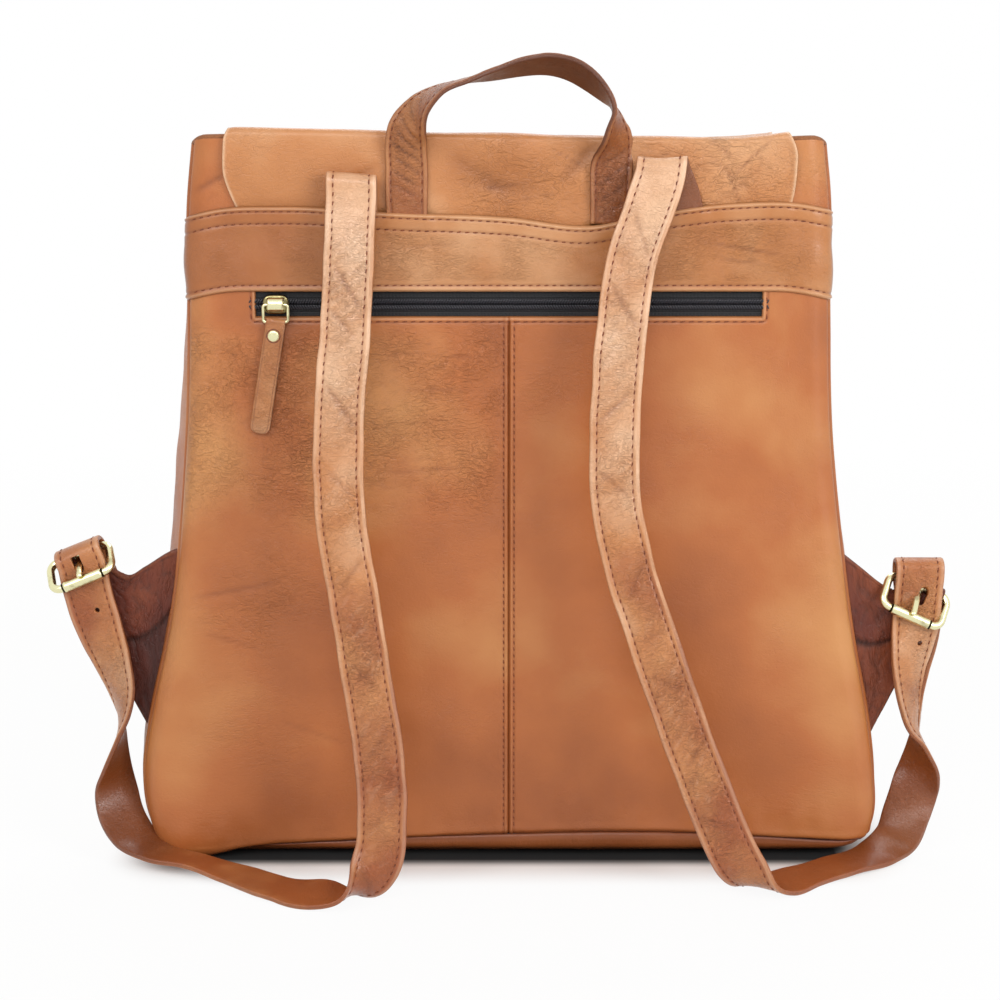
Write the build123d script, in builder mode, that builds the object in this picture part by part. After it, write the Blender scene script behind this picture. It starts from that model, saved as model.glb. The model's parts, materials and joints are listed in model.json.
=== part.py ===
"""Leather backpack with a flap, a zipped rear pocket, a carry handle and two buckled shoulder straps.

Millimetres, +Z up. The worn side, with the straps, faces -Y and the flap closes over the +Y side.
The origin is the centre of the flat underside.
"""
import os
from math import asin, atan, ceil, cos, pi, radians, sin

from build123d import *

os.makedirs("parts", exist_ok=True)

# ---- leather, cloth and clearances ----
leather = 1.8          # body panels and yoke band
flap_leather = 2.0     # single ply
strap_thickness = 2.6  # folded and stitched
strap_width = 25.0
station_spacing = 11.0  # longest facet along a strap
handle_width = 21.0
tab_leather = 2.2
facing_leather = 1.4
cloth = 0.8            # lining
pocket_cloth = 0.5
running_gap = 0.3      # between pieces that move or only lie close
pin_gap = 0.1          # radial play of rings, rollers and pins

# ---- body ----
body_height = 373.0
rear_y = -58.0         # flat worn side
base_front_y = 57.0
top_front_y = 33.0
rear_corner = 12.0
front_corner = 24.0
rear_seam = 3.5        # rear corner seam, behind the worn side
front_seam = 8.0
panel_joint = 6.0      # lower and upper rear panels meet this far above the band's lower edge
board_thickness = 2.0
board_margin = 24.0
facing_depth = 28.0
round_top = 16.0       # height where the rounded base edge ends

base_half_width = 172.0
# height, half width, bulge of the left gusset, bulge of the right gusset, inset of the base edge
body_levels = [
    (0.0, base_half_width, 0.5, 0.5, 12.0),
    (4.0, 183.0, 1.0, 1.0, 3.4),
    (9.0, 189.0, 1.5, 1.5, 0.8),
    (round_top, 191.5, 2.5, 2.0, 0.0),
    (44.0, 192.0, 4.0, 3.0, 0.0),
    (80.0, 187.0, 5.0, 3.0, 0.0),
    (114.0, 180.0, 6.0, 3.0, 0.0),
    (165.0, 172.0, 7.5, 3.0, 0.0),
    (225.0, 165.0, 7.5, 2.5, 0.0),
    (290.0, 162.0, 3.5, 2.0, 0.0),
    (340.0, 161.0, 1.5, 1.5, 0.0),
    (body_height, 157.5, 0.5, 0.5, 0.0),
]
band_levels = body_levels[-4:]

# ---- base seam, seen from the worn side ----
base_seam = [(-210, 4.2), (-165, 4.2), (-109, 6.8), (-15, 11.6), (75, 13.3), (179, 7.7), (210, 7.0)]

# ---- yoke band and rear zip ----
band_bottom = 296.5
band_top = 336.5
band_top_sag = [(-175, -9.0), (-150, 0.0), (-112, 2.4), (-60, -0.4), (0, -3.0), (40, -7.0),
                (70, -1.0), (112, 4.0), (145, 3.8), (175, -4.0)]
band_flat_half = 132.0
band_end_drop = 11.0
zip_half_length = 126.5
zip_opening = 12.6
tape_height = 28.0
tape_thickness = 0.7
coil_width = 6.0
coil_thickness = 1.5
pocket_depth = 150.0
pocket_gap = 1.4

# ---- zip slider and pull ----
slider_x = -116.5
slider_length = 13.0
slider_width = 9.6
slider_plate = 1.3
bridge_length = 9.0
bridge_rise = 3.6
bridge_wall = 1.1
pull_wire = 0.8
pull_half_width = 6.2
pull_drop = 8.6
pull_corner = 1.3
pull_tab_width = 10.0
pull_tab_length = 57.0
pull_tab_thickness = 3.0
pull_tab_lean = 9.5
rivet_radius = 2.9
rivet_head = 0.8
rivet_drop = 7.0

# ---- flap ----
flap_half_width = 140.0
flap_rise = 1.2        # over the rim
flap_drop = 168.0
flap_corner = 46.0
snap_radius = 9.0
snap_plate = 0.9
snap_height = 236.0

# ---- handle ----
handle_hinge = 354.0
handle_seat = 336.8
handle_leg_x = 50.5

# ---- buckles ----
wire_radius = 2.0
roller_radius = 2.8
roller_length = 21.0
buckle_length = 18.0   # roller bar to anchor bar
buckle_half_width = 16.6
buckle_corner = 5.0
prong_radius = 1.3
prong_over = 1.4       # past the roller's axis
ring_wall = 1.1
ring_width = 5.0
loop_wall = 1.7
loop_reach = 11.2
tab_neck = 8.0         # straight part of the side tab under the anchor bar
prong_slot = 9.5
strap_hole = 1.3

half_strap = strap_thickness / 2
loop_radius = wire_radius + pin_gap + loop_wall
band_y = rear_y - leather
seat_y = rear_y - flap_leather - running_gap - half_strap   # straps and handle where they leave the band
zip_z = band_bottom - zip_opening / 2
tape_y = rear_y + leather
coil_y = tape_y - coil_thickness
plate_y = coil_y - running_gap
bridge_y = plate_y - slider_plate
pull_y = bridge_y - (bridge_rise - bridge_wall) / 2


def front_at(height):
    """Front face's y at a height: the front leans back towards the top."""
    return base_front_y + (top_front_y - base_front_y) * height / body_height


def outline(level, grow, rear_grow, floor):
    """One closed horizontal outline of the bag, grown outwards by grow."""
    height, half_width, bulge_left, bulge_right, inset = level
    x = half_width + grow
    rear = rear_y + inset - rear_grow
    front = front_at(height) - inset + grow
    rear_end = rear + rear_corner + inset / 2
    middle = (rear + front) / 2
    lift = floor * (1.0 - height / body_height)
    with BuildSketch(Plane.XY.offset(height + lift)) as face:
        with BuildLine():
            rear_run = x - rear_corner - inset / 2
            Line((-rear_run, rear), (rear_run, rear))
            RadiusArc((rear_run, rear), (x, rear_end), -(x - rear_run))
            ThreePointArc((x, rear_end), (x + bulge_right, middle), (x, front - front_corner))
            RadiusArc((x, front - front_corner), (x - front_corner, front), -front_corner)
            Line((x - front_corner, front), (front_corner - x, front))
            RadiusArc((front_corner - x, front), (-x, front - front_corner), -front_corner)
            ThreePointArc((-x, front - front_corner), (-x - bulge_left, middle), (-x, rear_end))
            RadiusArc((-x, rear_end), (-rear_run, rear), -(x - rear_run))
        make_face()
    return face.sketch


def bag_volume(grow, floor=0.0, rear_grow=None):
    """The bag's whole volume, grown by grow, its floor raised by floor."""
    rear_grow = grow if rear_grow is None else rear_grow
    with BuildPart() as volume:
        loft(sections=[outline(level, grow, rear_grow, floor) for level in body_levels], ruled=True)
    return volume.part


def band_volume():
    """The bag's upper volume grown by one leather thickness, for what lies on its outside."""
    with BuildPart() as volume:
        loft(sections=[outline(level, leather, leather, 0.0) for level in band_levels], ruled=True)
    return volume.part


def block(low, high):
    """A plain box between two corners, used to cut pieces apart."""
    with BuildPart() as piece:
        with BuildSketch(Plane.XY.offset(low[2])):
            with Locations(((low[0] + high[0]) / 2, (low[1] + high[1]) / 2)):
                Rectangle(high[0] - low[0], high[1] - low[1])
        extrude(amount=high[2] - low[2])
    return piece.part


def finish(builder, name):
    """Labels a piece and writes its file."""
    part = builder.part if isinstance(builder, BuildPart) else builder
    part.label = name
    export_step(part, f"parts/{name}.step")
    return part


def wire_ring(half_width, height, corner):
    """Closed line of a bent wire, from the middle of its lower side, each corner in three short mitred bends."""
    near, far_end = corner * (1 - sin(pi / 6)), corner * (1 - cos(pi / 6))
    quarter = [(half_width - corner, 0), (half_width - near, far_end), (half_width - far_end, near),
               (half_width, corner)]
    right = quarter + [(x, height - y) for x, y in reversed(quarter)]
    Polyline((0, 0), *right, *[(-x, y) for x, y in reversed(right)], (0, 0))


def smooth(rows):
    """More stations between the given ones, on a cubic through them with chord-length slopes."""
    gaps = [(Vector(*b[:3]) - Vector(*a[:3])).length for a, b in zip(rows, rows[1:])]
    steps = [[(q - p) / gap for p, q in zip(a, b)] for a, b, gap in zip(rows, rows[1:], gaps)]
    slopes = [steps[0]]
    for before, after, gap_before, gap_after in zip(steps, steps[1:], gaps, gaps[1:]):
        total = gap_before + gap_after
        slopes.append([(p * gap_after + q * gap_before) / total for p, q in zip(before, after)])
    slopes.append(steps[-1])
    fine = []
    for place, gap in enumerate(gaps):
        count = ceil(gap / station_spacing)
        for step in range(count):
            t = step / count
            parts = zip(rows[place], rows[place + 1], slopes[place], slopes[place + 1])
            fine.append([(2 * t**3 - 3 * t**2 + 1) * a + (3 * t**2 - 2 * t**3) * b
                         + gap * ((t**3 - 2 * t**2 + t) * m + (t**3 - t**2) * n) for a, b, m, n in parts])
    return fine + [rows[-1]]


def ribbon(rows, width, thickness):
    """A flat strap through stations (x, y, z, across x, across y, across z)."""
    stations = smooth(rows)
    points = [Vector(*row[:3]) for row in stations]
    with BuildPart() as strip:
        for place, row in enumerate(stations):
            ahead = points[min(place + 1, len(points) - 1)] - points[max(place - 1, 0)]
            ahead = ahead.normalized()
            across = Vector(*row[3:])
            across = (across - ahead * across.dot(ahead)).normalized()
            with BuildSketch(Plane(points[place], x_dir=across, z_dir=ahead)):
                Rectangle(width, thickness)
        loft(ruled=True)
    return strip.part


def fold(x, y_start, y_end, z, across, up=(0.0, 1.0), steps=6):
    """Stations of a half turn from a rising strap to a falling one; up is the rise in X and Z."""
    middle = (y_start + y_end) / 2
    radius = (y_end - y_start) / 2
    lead = strap_thickness
    rows = [(x - lead * up[0], y_start, z - lead * up[1], *across)]
    for step in range(steps + 1):
        turn = pi * step / steps
        rise = abs(radius) * sin(turn)
        rows.append((x + rise * up[0], middle - radius * cos(turn), z + rise * up[1], *across))
    return rows + [(x - lead * up[0], y_end, z - lead * up[1], *across)]


far = 260.0
outer = bag_volume(0.0)
cavity = bag_volume(-leather, floor=leather)
skin = outer - cavity

# ---- base ----
with BuildPart() as above_seam:
    with BuildSketch(Plane.XZ.offset(-far)):
        with BuildLine():
            edge = Spline(*base_seam)
            Polyline(edge @ 1, (210, 400), (-210, 400), edge @ 0)
        make_face()
    extrude(amount=2 * far)

with BuildPart() as base_panel:
    add(skin)
    add(above_seam.part, mode=Mode.SUBTRACT)
finish(base_panel, "base_panel")

with BuildPart() as base_board:
    with BuildSketch(Plane.XY.offset(leather)):
        RectangleRounded(2 * (base_half_width - board_margin), base_front_y - rear_y - 2 * board_margin, 8)
    extrude(amount=board_thickness)
finish(base_board, "base_board")

# ---- body panels ----
upper_skin = skin & above_seam.part
rear_cut = rear_y + rear_seam
joint_z = band_bottom + panel_joint

with BuildPart() as rear_zone:
    add(block((-far, -far, 0), (far, rear_cut, 400)))
    add(block((rear_corner - base_half_width, -far, 0),
              (base_half_width - rear_corner, rear_y + rear_corner, round_top)))

with BuildPart() as rear_skin:
    add(upper_skin)
    add(rear_zone.part, mode=Mode.INTERSECT)

with BuildPart() as front_zone:
    with BuildSketch(Plane.YZ.offset(-far)):
        with BuildLine():
            low = (base_front_y - front_seam, 0)
            high = (top_front_y - front_seam, body_height + 1)
            Polyline(low, (far, 0), (far, body_height + 1), high, low)
        make_face()
    extrude(amount=2 * far)

with BuildPart() as zip_slot:
    with BuildSketch(Plane.XZ.offset(-rear_y - 10)):
        with Locations((0, band_bottom - zip_opening / 2 + 1)):
            Rectangle(2 * zip_half_length, zip_opening + 2)
    extrude(amount=20)

for side, name in ((-1, "back_panel_left"), (1, "back_panel_right")):
    with BuildPart() as panel:
        add(rear_skin.part)
        low = (min(0, side * far), -far, 0)
        add(block(low, (low[0] + far, 0, joint_z)), mode=Mode.INTERSECT)
        add(zip_slot.part, mode=Mode.SUBTRACT)
    finish(panel, name)

with BuildPart() as back_upper_panel:
    add(rear_skin.part)
    add(block((-far, -far, joint_z), (far, 0, 400)), mode=Mode.INTERSECT)
finish(back_upper_panel, "back_upper_panel")

with BuildPart() as front_panel:
    add(upper_skin)
    add(front_zone.part, mode=Mode.INTERSECT)
finish(front_panel, "front_panel")

for side, name in ((-1, "gusset_left"), (1, "gusset_right")):
    with BuildPart() as gusset:
        add(upper_skin)
        low = (min(0, side * far), rear_cut, 0)
        add(block(low, (low[0] + far, far, 400)), mode=Mode.INTERSECT)
        add(rear_zone.part, mode=Mode.SUBTRACT)
        add(front_zone.part, mode=Mode.SUBTRACT)
    finish(gusset, name)

# ---- yoke band over the rear seam ----
with BuildPart() as back_yoke_band:
    with BuildSketch(Plane.XZ.offset(-rear_y - 20)):
        with BuildLine():
            crest = Spline(*[(x, band_top + sag) for x, sag in band_top_sag])
            flat = Line((-band_flat_half, band_bottom), (band_flat_half, band_bottom))
            right = TangentArc(flat @ 1, (175, band_bottom - band_end_drop), tangent=flat % 1)
            left = TangentArc(flat @ 0, (-175, band_bottom - band_end_drop), tangent=(flat % 0) * -1)
            Line(crest @ 0, left @ 1)
            Line(crest @ 1, right @ 1)
        make_face()
    extrude(amount=40)
    add(band_volume(), mode=Mode.INTERSECT)
    add(outer, mode=Mode.SUBTRACT)
    add(block((-far, -far, 0), (far, rear_cut, 400)), mode=Mode.INTERSECT)
finish(back_yoke_band, "back_yoke_band")

# ---- facing and lining ----
facing_z = body_height - facing_depth
with BuildPart() as rim_facing:
    add(cavity)
    add(bag_volume(-leather - facing_leather, floor=leather), mode=Mode.SUBTRACT)
    add(block((-far, -far, facing_z), (far, far, body_height)), mode=Mode.INTERSECT)
finish(rim_facing, "rim_facing")

lining_ease = 0.9
lining_rear = -leather - tape_thickness - 2 * pocket_cloth - pocket_gap - 2 * running_gap
lining_floor = leather + board_thickness + 0.2
with BuildPart() as lining:
    add(bag_volume(-leather - lining_ease, floor=lining_floor, rear_grow=lining_rear))
    add(bag_volume(-leather - lining_ease - cloth, floor=lining_floor + cloth,
                   rear_grow=lining_rear - cloth), mode=Mode.SUBTRACT)
    add(block((-far, -far, 0), (far, far, facing_z)), mode=Mode.INTERSECT)
finish(lining, "lining")

# ---- rear zip and its pocket ----
for side, name in ((1, "zip_tape_upper"), (-1, "zip_tape_lower")):
    with BuildPart() as tape:
        with BuildSketch(Plane.XZ.offset(-tape_y - tape_thickness)):
            with Locations((0, zip_z + side * (tape_height / 4 + 0.1))):
                Rectangle(2 * zip_half_length + 16, tape_height / 2 - 0.2)
        extrude(amount=tape_thickness)
    finish(tape, name)

with BuildPart() as zip_coil:
    with BuildSketch(Plane.YZ.offset(-zip_half_length + 1)):
        with Locations((coil_y + coil_thickness / 2, zip_z)):
            RectangleRounded(coil_thickness, coil_width, coil_thickness * 0.4)
    extrude(amount=2 * zip_half_length - 2)
finish(zip_coil, "zip_coil")

pocket_y = tape_y + tape_thickness
pocket_thickness = 2 * pocket_cloth + pocket_gap
with BuildPart() as zip_pocket:
    with BuildSketch(Plane.XZ.offset(-pocket_y - pocket_thickness)):
        with Locations((0, zip_z + tape_height / 2 - pocket_depth / 2)):
            Rectangle(2 * zip_half_length + 12, pocket_depth)
    extrude(amount=pocket_thickness)
    with BuildSketch(Plane.XZ.offset(-pocket_y - pocket_cloth - pocket_gap)):
        with Locations((0, zip_z + tape_height / 2 - pocket_depth / 2)):
            Rectangle(2 * zip_half_length + 11, pocket_depth - 1)
    extrude(amount=pocket_gap, mode=Mode.SUBTRACT)
    with BuildSketch(Plane.XZ.offset(-pocket_y - pocket_cloth - pocket_gap / 2)):
        with Locations((0, zip_z)):
            Rectangle(2 * zip_half_length - 6, coil_width)
    extrude(amount=pocket_thickness, mode=Mode.SUBTRACT)
finish(zip_pocket, "zip_pocket")

# ---- slider ----
with BuildPart() as zip_slider:
    with BuildSketch(Plane.XZ.offset(-plate_y)):
        with Locations((slider_x, zip_z)):
            RectangleRounded(slider_length, slider_width, slider_width / 3)
    extrude(amount=slider_plate)
    fillet(zip_slider.edges().group_by(Axis.Y)[0], slider_plate * 0.4)
    flange_y = (tape_y - running_gap + plate_y) / 2
    flange_out = slider_width / 2
    flange_in = coil_width / 2 + running_gap
    with BuildSketch(Plane.YZ.offset(slider_x - slider_length * 0.36)):
        for side in (-1, 1):
            with Locations((flange_y, zip_z + side * (flange_in + flange_out) / 2)):
                Rectangle(tape_y - running_gap - plate_y, flange_out - flange_in)
    extrude(amount=slider_length * 0.72)
    with BuildSketch(Plane.YZ.offset(slider_x - bridge_length / 2)):
        with Locations((bridge_y, zip_z)):
            Ellipse(bridge_rise, slider_width * 0.38)
            Ellipse(bridge_rise - bridge_wall, slider_width * 0.38 - bridge_wall, mode=Mode.SUBTRACT)
        with Locations((bridge_y + bridge_rise / 2, zip_z)):
            Rectangle(bridge_rise, slider_width, mode=Mode.SUBTRACT)
    extrude(amount=bridge_length)
finish(zip_slider, "zip_slider")

pull_top = zip_z
pull_bottom = pull_top - pull_drop
with BuildPart() as zip_pull_ring:
    ring_plane = Plane((slider_x, pull_y, pull_bottom), x_dir=(1, 0, 0), z_dir=(0, -1, 0))
    with BuildLine(ring_plane) as ring_line:
        wire_ring(pull_half_width, pull_drop, pull_corner)
    with BuildSketch(Plane(ring_line.line @ 0, z_dir=ring_line.line % 0)):
        Circle(pull_wire)
    sweep(transition=Transition.RIGHT)
finish(zip_pull_ring, "zip_pull_ring")

tab_plane = Plane((slider_x, pull_y, pull_bottom), x_dir=(cos(radians(pull_tab_lean)), 0, sin(radians(-pull_tab_lean))),
                  z_dir=(0, -1, 0))
with BuildPart() as zip_pull_tab:
    with BuildSketch(tab_plane.offset(-pull_tab_thickness / 2)):
        with Locations((0, -pull_tab_length / 2)):
            RectangleRounded(pull_tab_width, pull_tab_length, 1.0)
    extrude(amount=pull_tab_thickness)
    with BuildSketch(Plane.YZ.offset(slider_x - pull_tab_width / 2 + 0.2)):
        with Locations((pull_y, pull_bottom)):
            Circle(pull_tab_thickness / 2 + 0.3)
    extrude(amount=pull_tab_width - 0.4)
    with BuildSketch(Plane.YZ.offset(slider_x - pull_tab_width)):
        with Locations((pull_y, pull_bottom)):
            Circle(pull_wire + pin_gap)
    extrude(amount=2 * pull_tab_width, mode=Mode.SUBTRACT)
    with BuildSketch(tab_plane.offset(-pull_tab_thickness)):
        with Locations((0, -rivet_drop)):
            Circle(rivet_radius / 3)
    extrude(amount=2 * pull_tab_thickness, mode=Mode.SUBTRACT)
finish(zip_pull_tab, "zip_pull_tab")

with BuildPart() as zip_pull_rivet:
    with BuildSketch(tab_plane.offset(-pull_tab_thickness / 2)):
        with Locations((0, -rivet_drop)):
            Circle(rivet_radius / 3)
    extrude(amount=pull_tab_thickness)
    with BuildSketch(tab_plane.offset(pull_tab_thickness / 2)):
        with Locations((0, -rivet_drop)):
            Circle(rivet_radius)
    extrude(amount=rivet_head)
    fillet(zip_pull_rivet.edges().group_by(Axis.Y)[0], rivet_head * 0.7)
    with BuildSketch(tab_plane.offset(-pull_tab_thickness / 2 - rivet_head / 2)):
        with Locations((0, -rivet_drop)):
            Circle(rivet_radius * 0.8)
    extrude(amount=rivet_head / 2)
finish(zip_pull_rivet, "zip_pull_rivet")

# ---- flap: against the back, over the top, down the front ----
flap_top_z = body_height + flap_rise
hinge_z = flap_top_z + flap_leather / 2
with BuildPart() as flap_back:
    with BuildSketch(Plane.XZ.offset(-rear_y)):
        with BuildLine():
            crest = Spline(*[(x, band_top + sag) for x, sag in band_top_sag])
            Polyline(crest @ 1, (175, hinge_z), (-175, hinge_z), crest @ 0)
        make_face()
        with Locations((0, hinge_z)):
            Rectangle(2 * flap_half_width, 2 * hinge_z, mode=Mode.INTERSECT)
    extrude(amount=flap_leather)
finish(flap_back, "flap_back")

front_x = front_at(body_height) + flap_rise
with BuildPart() as flap_top:
    with BuildSketch(Plane.YZ.offset(-flap_half_width)):
        with BuildLine():
            rear = rear_y - flap_leather / 2
            Polyline((rear + running_gap, hinge_z + running_gap), (rear + 3, flap_top_z + flap_leather + 0.6),
                     (front_x - running_gap, flap_top_z + flap_leather), (front_x - running_gap, flap_top_z),
                     (rear_y + 4, flap_top_z), (rear + running_gap, hinge_z + running_gap))
        make_face()
    extrude(amount=2 * flap_half_width)
finish(flap_top, "flap_top")

lean = (top_front_y - base_front_y) / body_height
flap_end_z = flap_top_z - flap_drop
flap_end_y = front_x - lean * flap_drop
with BuildPart() as flap_front:
    with BuildSketch(Plane.YZ.offset(-flap_half_width)):
        with BuildLine():
            Polyline((front_x, flap_top_z), (front_x, flap_top_z + flap_leather),
                     (front_x + flap_leather, flap_top_z - 1), (flap_end_y + flap_leather, flap_end_z),
                     (flap_end_y, flap_end_z), (front_x, flap_top_z))
        make_face()
    extrude(amount=2 * flap_half_width)
    with BuildSketch(Plane.XZ.offset(-200)):
        with Locations((0, flap_end_z + flap_drop / 2 + 2)):
            RectangleRounded(2 * flap_half_width, flap_drop + 4 + 2 * flap_corner, flap_corner)
        with Locations((0, flap_end_z + flap_drop)):
            Rectangle(2 * flap_half_width, 2 * flap_drop, mode=Mode.INTERSECT)
    extrude(amount=200, mode=Mode.INTERSECT)
finish(flap_front, "flap_front")


# ---- magnetic snap between the flap's end and the front ----
snap_lean = atan(-lean)
snap_room = (front_x - front_at(body_height)) * cos(snap_lean)
snap_face = Plane((0, front_at(snap_height), snap_height), x_dir=(-1, 0, 0), z_dir=(0, cos(snap_lean), sin(snap_lean)))
with BuildPart() as snap_socket:
    with BuildSketch(snap_face):
        Circle(snap_radius)
    extrude(amount=snap_room / 2 - running_gap / 2)
finish(snap_socket, "snap_socket")

with BuildPart() as snap_stud:
    with BuildSketch(snap_face.offset(snap_room)):
        Circle(snap_radius)
    extrude(amount=-snap_room / 2 + running_gap / 2)
finish(snap_stud, "snap_stud")

# ---- carry handle: a folded strap whose ends are sewn under the band ----
handle_path = [
    (-handle_leg_x, seat_y, handle_hinge, 1, 0, 0),
    (-handle_leg_x, seat_y, handle_hinge + 4, 1, 0, 0),
    (-50.8, seat_y - 1.8, 366.0, 1, -0.1, 0),
    (-49.0, seat_y - 7.5, 378.0, 0.85, -0.5, 0),
    (-43.5, seat_y - 9.5, 388.0, 0.5, -0.85, -0.2),
    (-34.0, seat_y - 10.0, 395.5, 0.2, -0.97, -0.1),
    (-20.0, seat_y - 10.2, 400.0, 0, -1, 0),
    (-6.0, seat_y - 10.2, 403.5, 0, -0.97, 0.22),
    (8.0, seat_y - 10.2, 407.0, 0, -0.93, 0.36),
    (20.0, seat_y - 10.2, 408.2, 0, -0.92, 0.4),
    (31.0, seat_y - 10.0, 405.5, -0.2, -0.9, 0.4),
    (40.0, seat_y - 10.0, 398.5, -0.45, -0.8, 0.4),
    (46.0, seat_y - 9.5, 388.5, -0.7, -0.65, 0.2),
    (49.5, seat_y - 7.5, 377.0, -0.9, -0.4, 0),
    (50.6, seat_y - 1.8, 366.0, -1, -0.1, 0),
    (handle_leg_x, seat_y, handle_hinge + 4, -1, 0, 0),
    (handle_leg_x, seat_y, handle_hinge, -1, 0, 0),
]
carry_handle = ribbon(handle_path, handle_width, strap_thickness)
finish(carry_handle, "carry_handle")

for side, name in ((-1, "handle_end_left"), (1, "handle_end_right")):
    with BuildPart() as handle_end:
        with BuildSketch(Plane.XY.offset(handle_seat)):
            with Locations((side * handle_leg_x, seat_y)):
                Rectangle(handle_width, strap_thickness)
        extrude(amount=handle_hinge - running_gap - handle_seat)
    finish(handle_end, name)


def buckle_plane(x, z, tilt, strap_y, bar_y):
    """Local axes of a buckle: X along the roller, Y towards the anchor bar, Z out of the frame."""
    roller_y = strap_y - half_strap - running_gap - roller_radius
    recline = asin((bar_y - roller_y) / buckle_length)
    turn = radians(tilt)
    along = Vector(cos(turn), 0, sin(turn))
    to_bar = Vector(-sin(turn) * cos(recline), sin(recline), cos(turn) * cos(recline))
    return Plane((x, roller_y, z), x_dir=along, z_dir=along.cross(to_bar))


def buckle(plane, side):
    """Wire frame, roller and prong of one buckle."""
    bar = Plane(plane.from_local_coords((0, buckle_length, 0)), x_dir=plane.y_dir, z_dir=plane.x_dir)
    roller_axis = Plane(plane.origin, x_dir=plane.y_dir, z_dir=plane.x_dir)
    with BuildPart() as frame:
        with BuildLine(plane) as frame_line:
            wire_ring(buckle_half_width, buckle_length, buckle_corner)
        with BuildSketch(Plane(frame_line.line @ 0, z_dir=frame_line.line % 0)):
            Circle(wire_radius)
        sweep(transition=Transition.RIGHT)
    finish(frame, f"buckle_frame_{side}")
    with BuildPart() as roller:
        with BuildSketch(roller_axis.offset(-roller_length / 2)):
            Circle(roller_radius)
            Circle(wire_radius + pin_gap, mode=Mode.SUBTRACT)
        extrude(amount=roller_length)
    finish(roller, f"buckle_roller_{side}")
    ring_radius = wire_radius + pin_gap + ring_wall
    slope = (roller_radius + running_gap + prong_radius) / buckle_length * 1.03
    tip = (0, -prong_over, slope * (buckle_length + prong_over))
    root = (0, buckle_length - wire_radius, slope * wire_radius)
    with BuildPart() as prong:
        with BuildSketch(bar.offset(-ring_width / 2)):
            Circle(ring_radius)
        extrude(amount=ring_width)
        with BuildLine(plane) as tongue:
            Line(root, tip)
        with BuildSketch(Plane(tongue.line @ 0, z_dir=tongue.line % 0)):
            Circle(prong_radius)
        sweep()
        with BuildSketch(bar.offset(-ring_width)):
            Circle(wire_radius + pin_gap)
        extrude(amount=2 * ring_width, mode=Mode.SUBTRACT)
    finish(prong, f"buckle_prong_{side}")
    return bar


def side_tab(plane, bar, seam_top, seam_bottom, name):
    """A tapered tab from the gusset seam to the buckle's anchor bar, looped round the bar."""
    along = plane.x_dir
    down = Vector(along.Z, 0, -along.X)
    reach = loop_radius - loop_wall / 2
    seam = Vector(*seam_top) - Vector(*seam_bottom)
    middle = (Vector(*seam_top) + Vector(*seam_bottom)) * 0.5
    facing = seam.normalized() if seam.normalized().dot(along) > 0 else seam.normalized() * -1
    outward = (bar.origin - middle).normalized()
    outward = (outward - facing * outward.dot(facing)).normalized()
    with BuildPart() as tab:
        with BuildSketch(Plane(middle, x_dir=facing, z_dir=outward)):
            Rectangle(seam.length, tab_leather)
        with BuildSketch(Plane(bar.origin + down * tab_neck, x_dir=along, z_dir=down * -1)):
            Rectangle(2 * loop_reach + 1, tab_leather)
        with BuildSketch(Plane(bar.origin + down * reach, x_dir=along, z_dir=down * -1)):
            Rectangle(2 * loop_reach, tab_leather)
        loft(ruled=True)
        for start in (-loop_reach, ring_width / 2 + running_gap):
            with BuildSketch(bar.offset(start)):
                Circle(loop_radius)
            extrude(amount=loop_reach - ring_width / 2 - running_gap)
        with BuildSketch(bar.offset(-loop_reach)):
            Circle(wire_radius + pin_gap)
        extrude(amount=2 * loop_reach, mode=Mode.SUBTRACT)
        with BuildSketch(bar.offset(-ring_width / 2 - running_gap)):
            Circle(loop_radius + running_gap)
        extrude(amount=ring_width + 2 * running_gap, mode=Mode.SUBTRACT)
        add(outer, mode=Mode.SUBTRACT)
    finish(tab, name)


# ---- left buckle and strap ----
strap_y = -48.0
left_bar_y = -38.6
left_tilt = 22.0
left_plane = buckle_plane(-219.0, 147.5, left_tilt, strap_y, left_bar_y)
left_bar = buckle(left_plane, "left")
side_tab(left_plane, left_bar, (-168.0, -44.0, 163.5), (-186.5, -44.0, 63.5), "side_tab_left")

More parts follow.
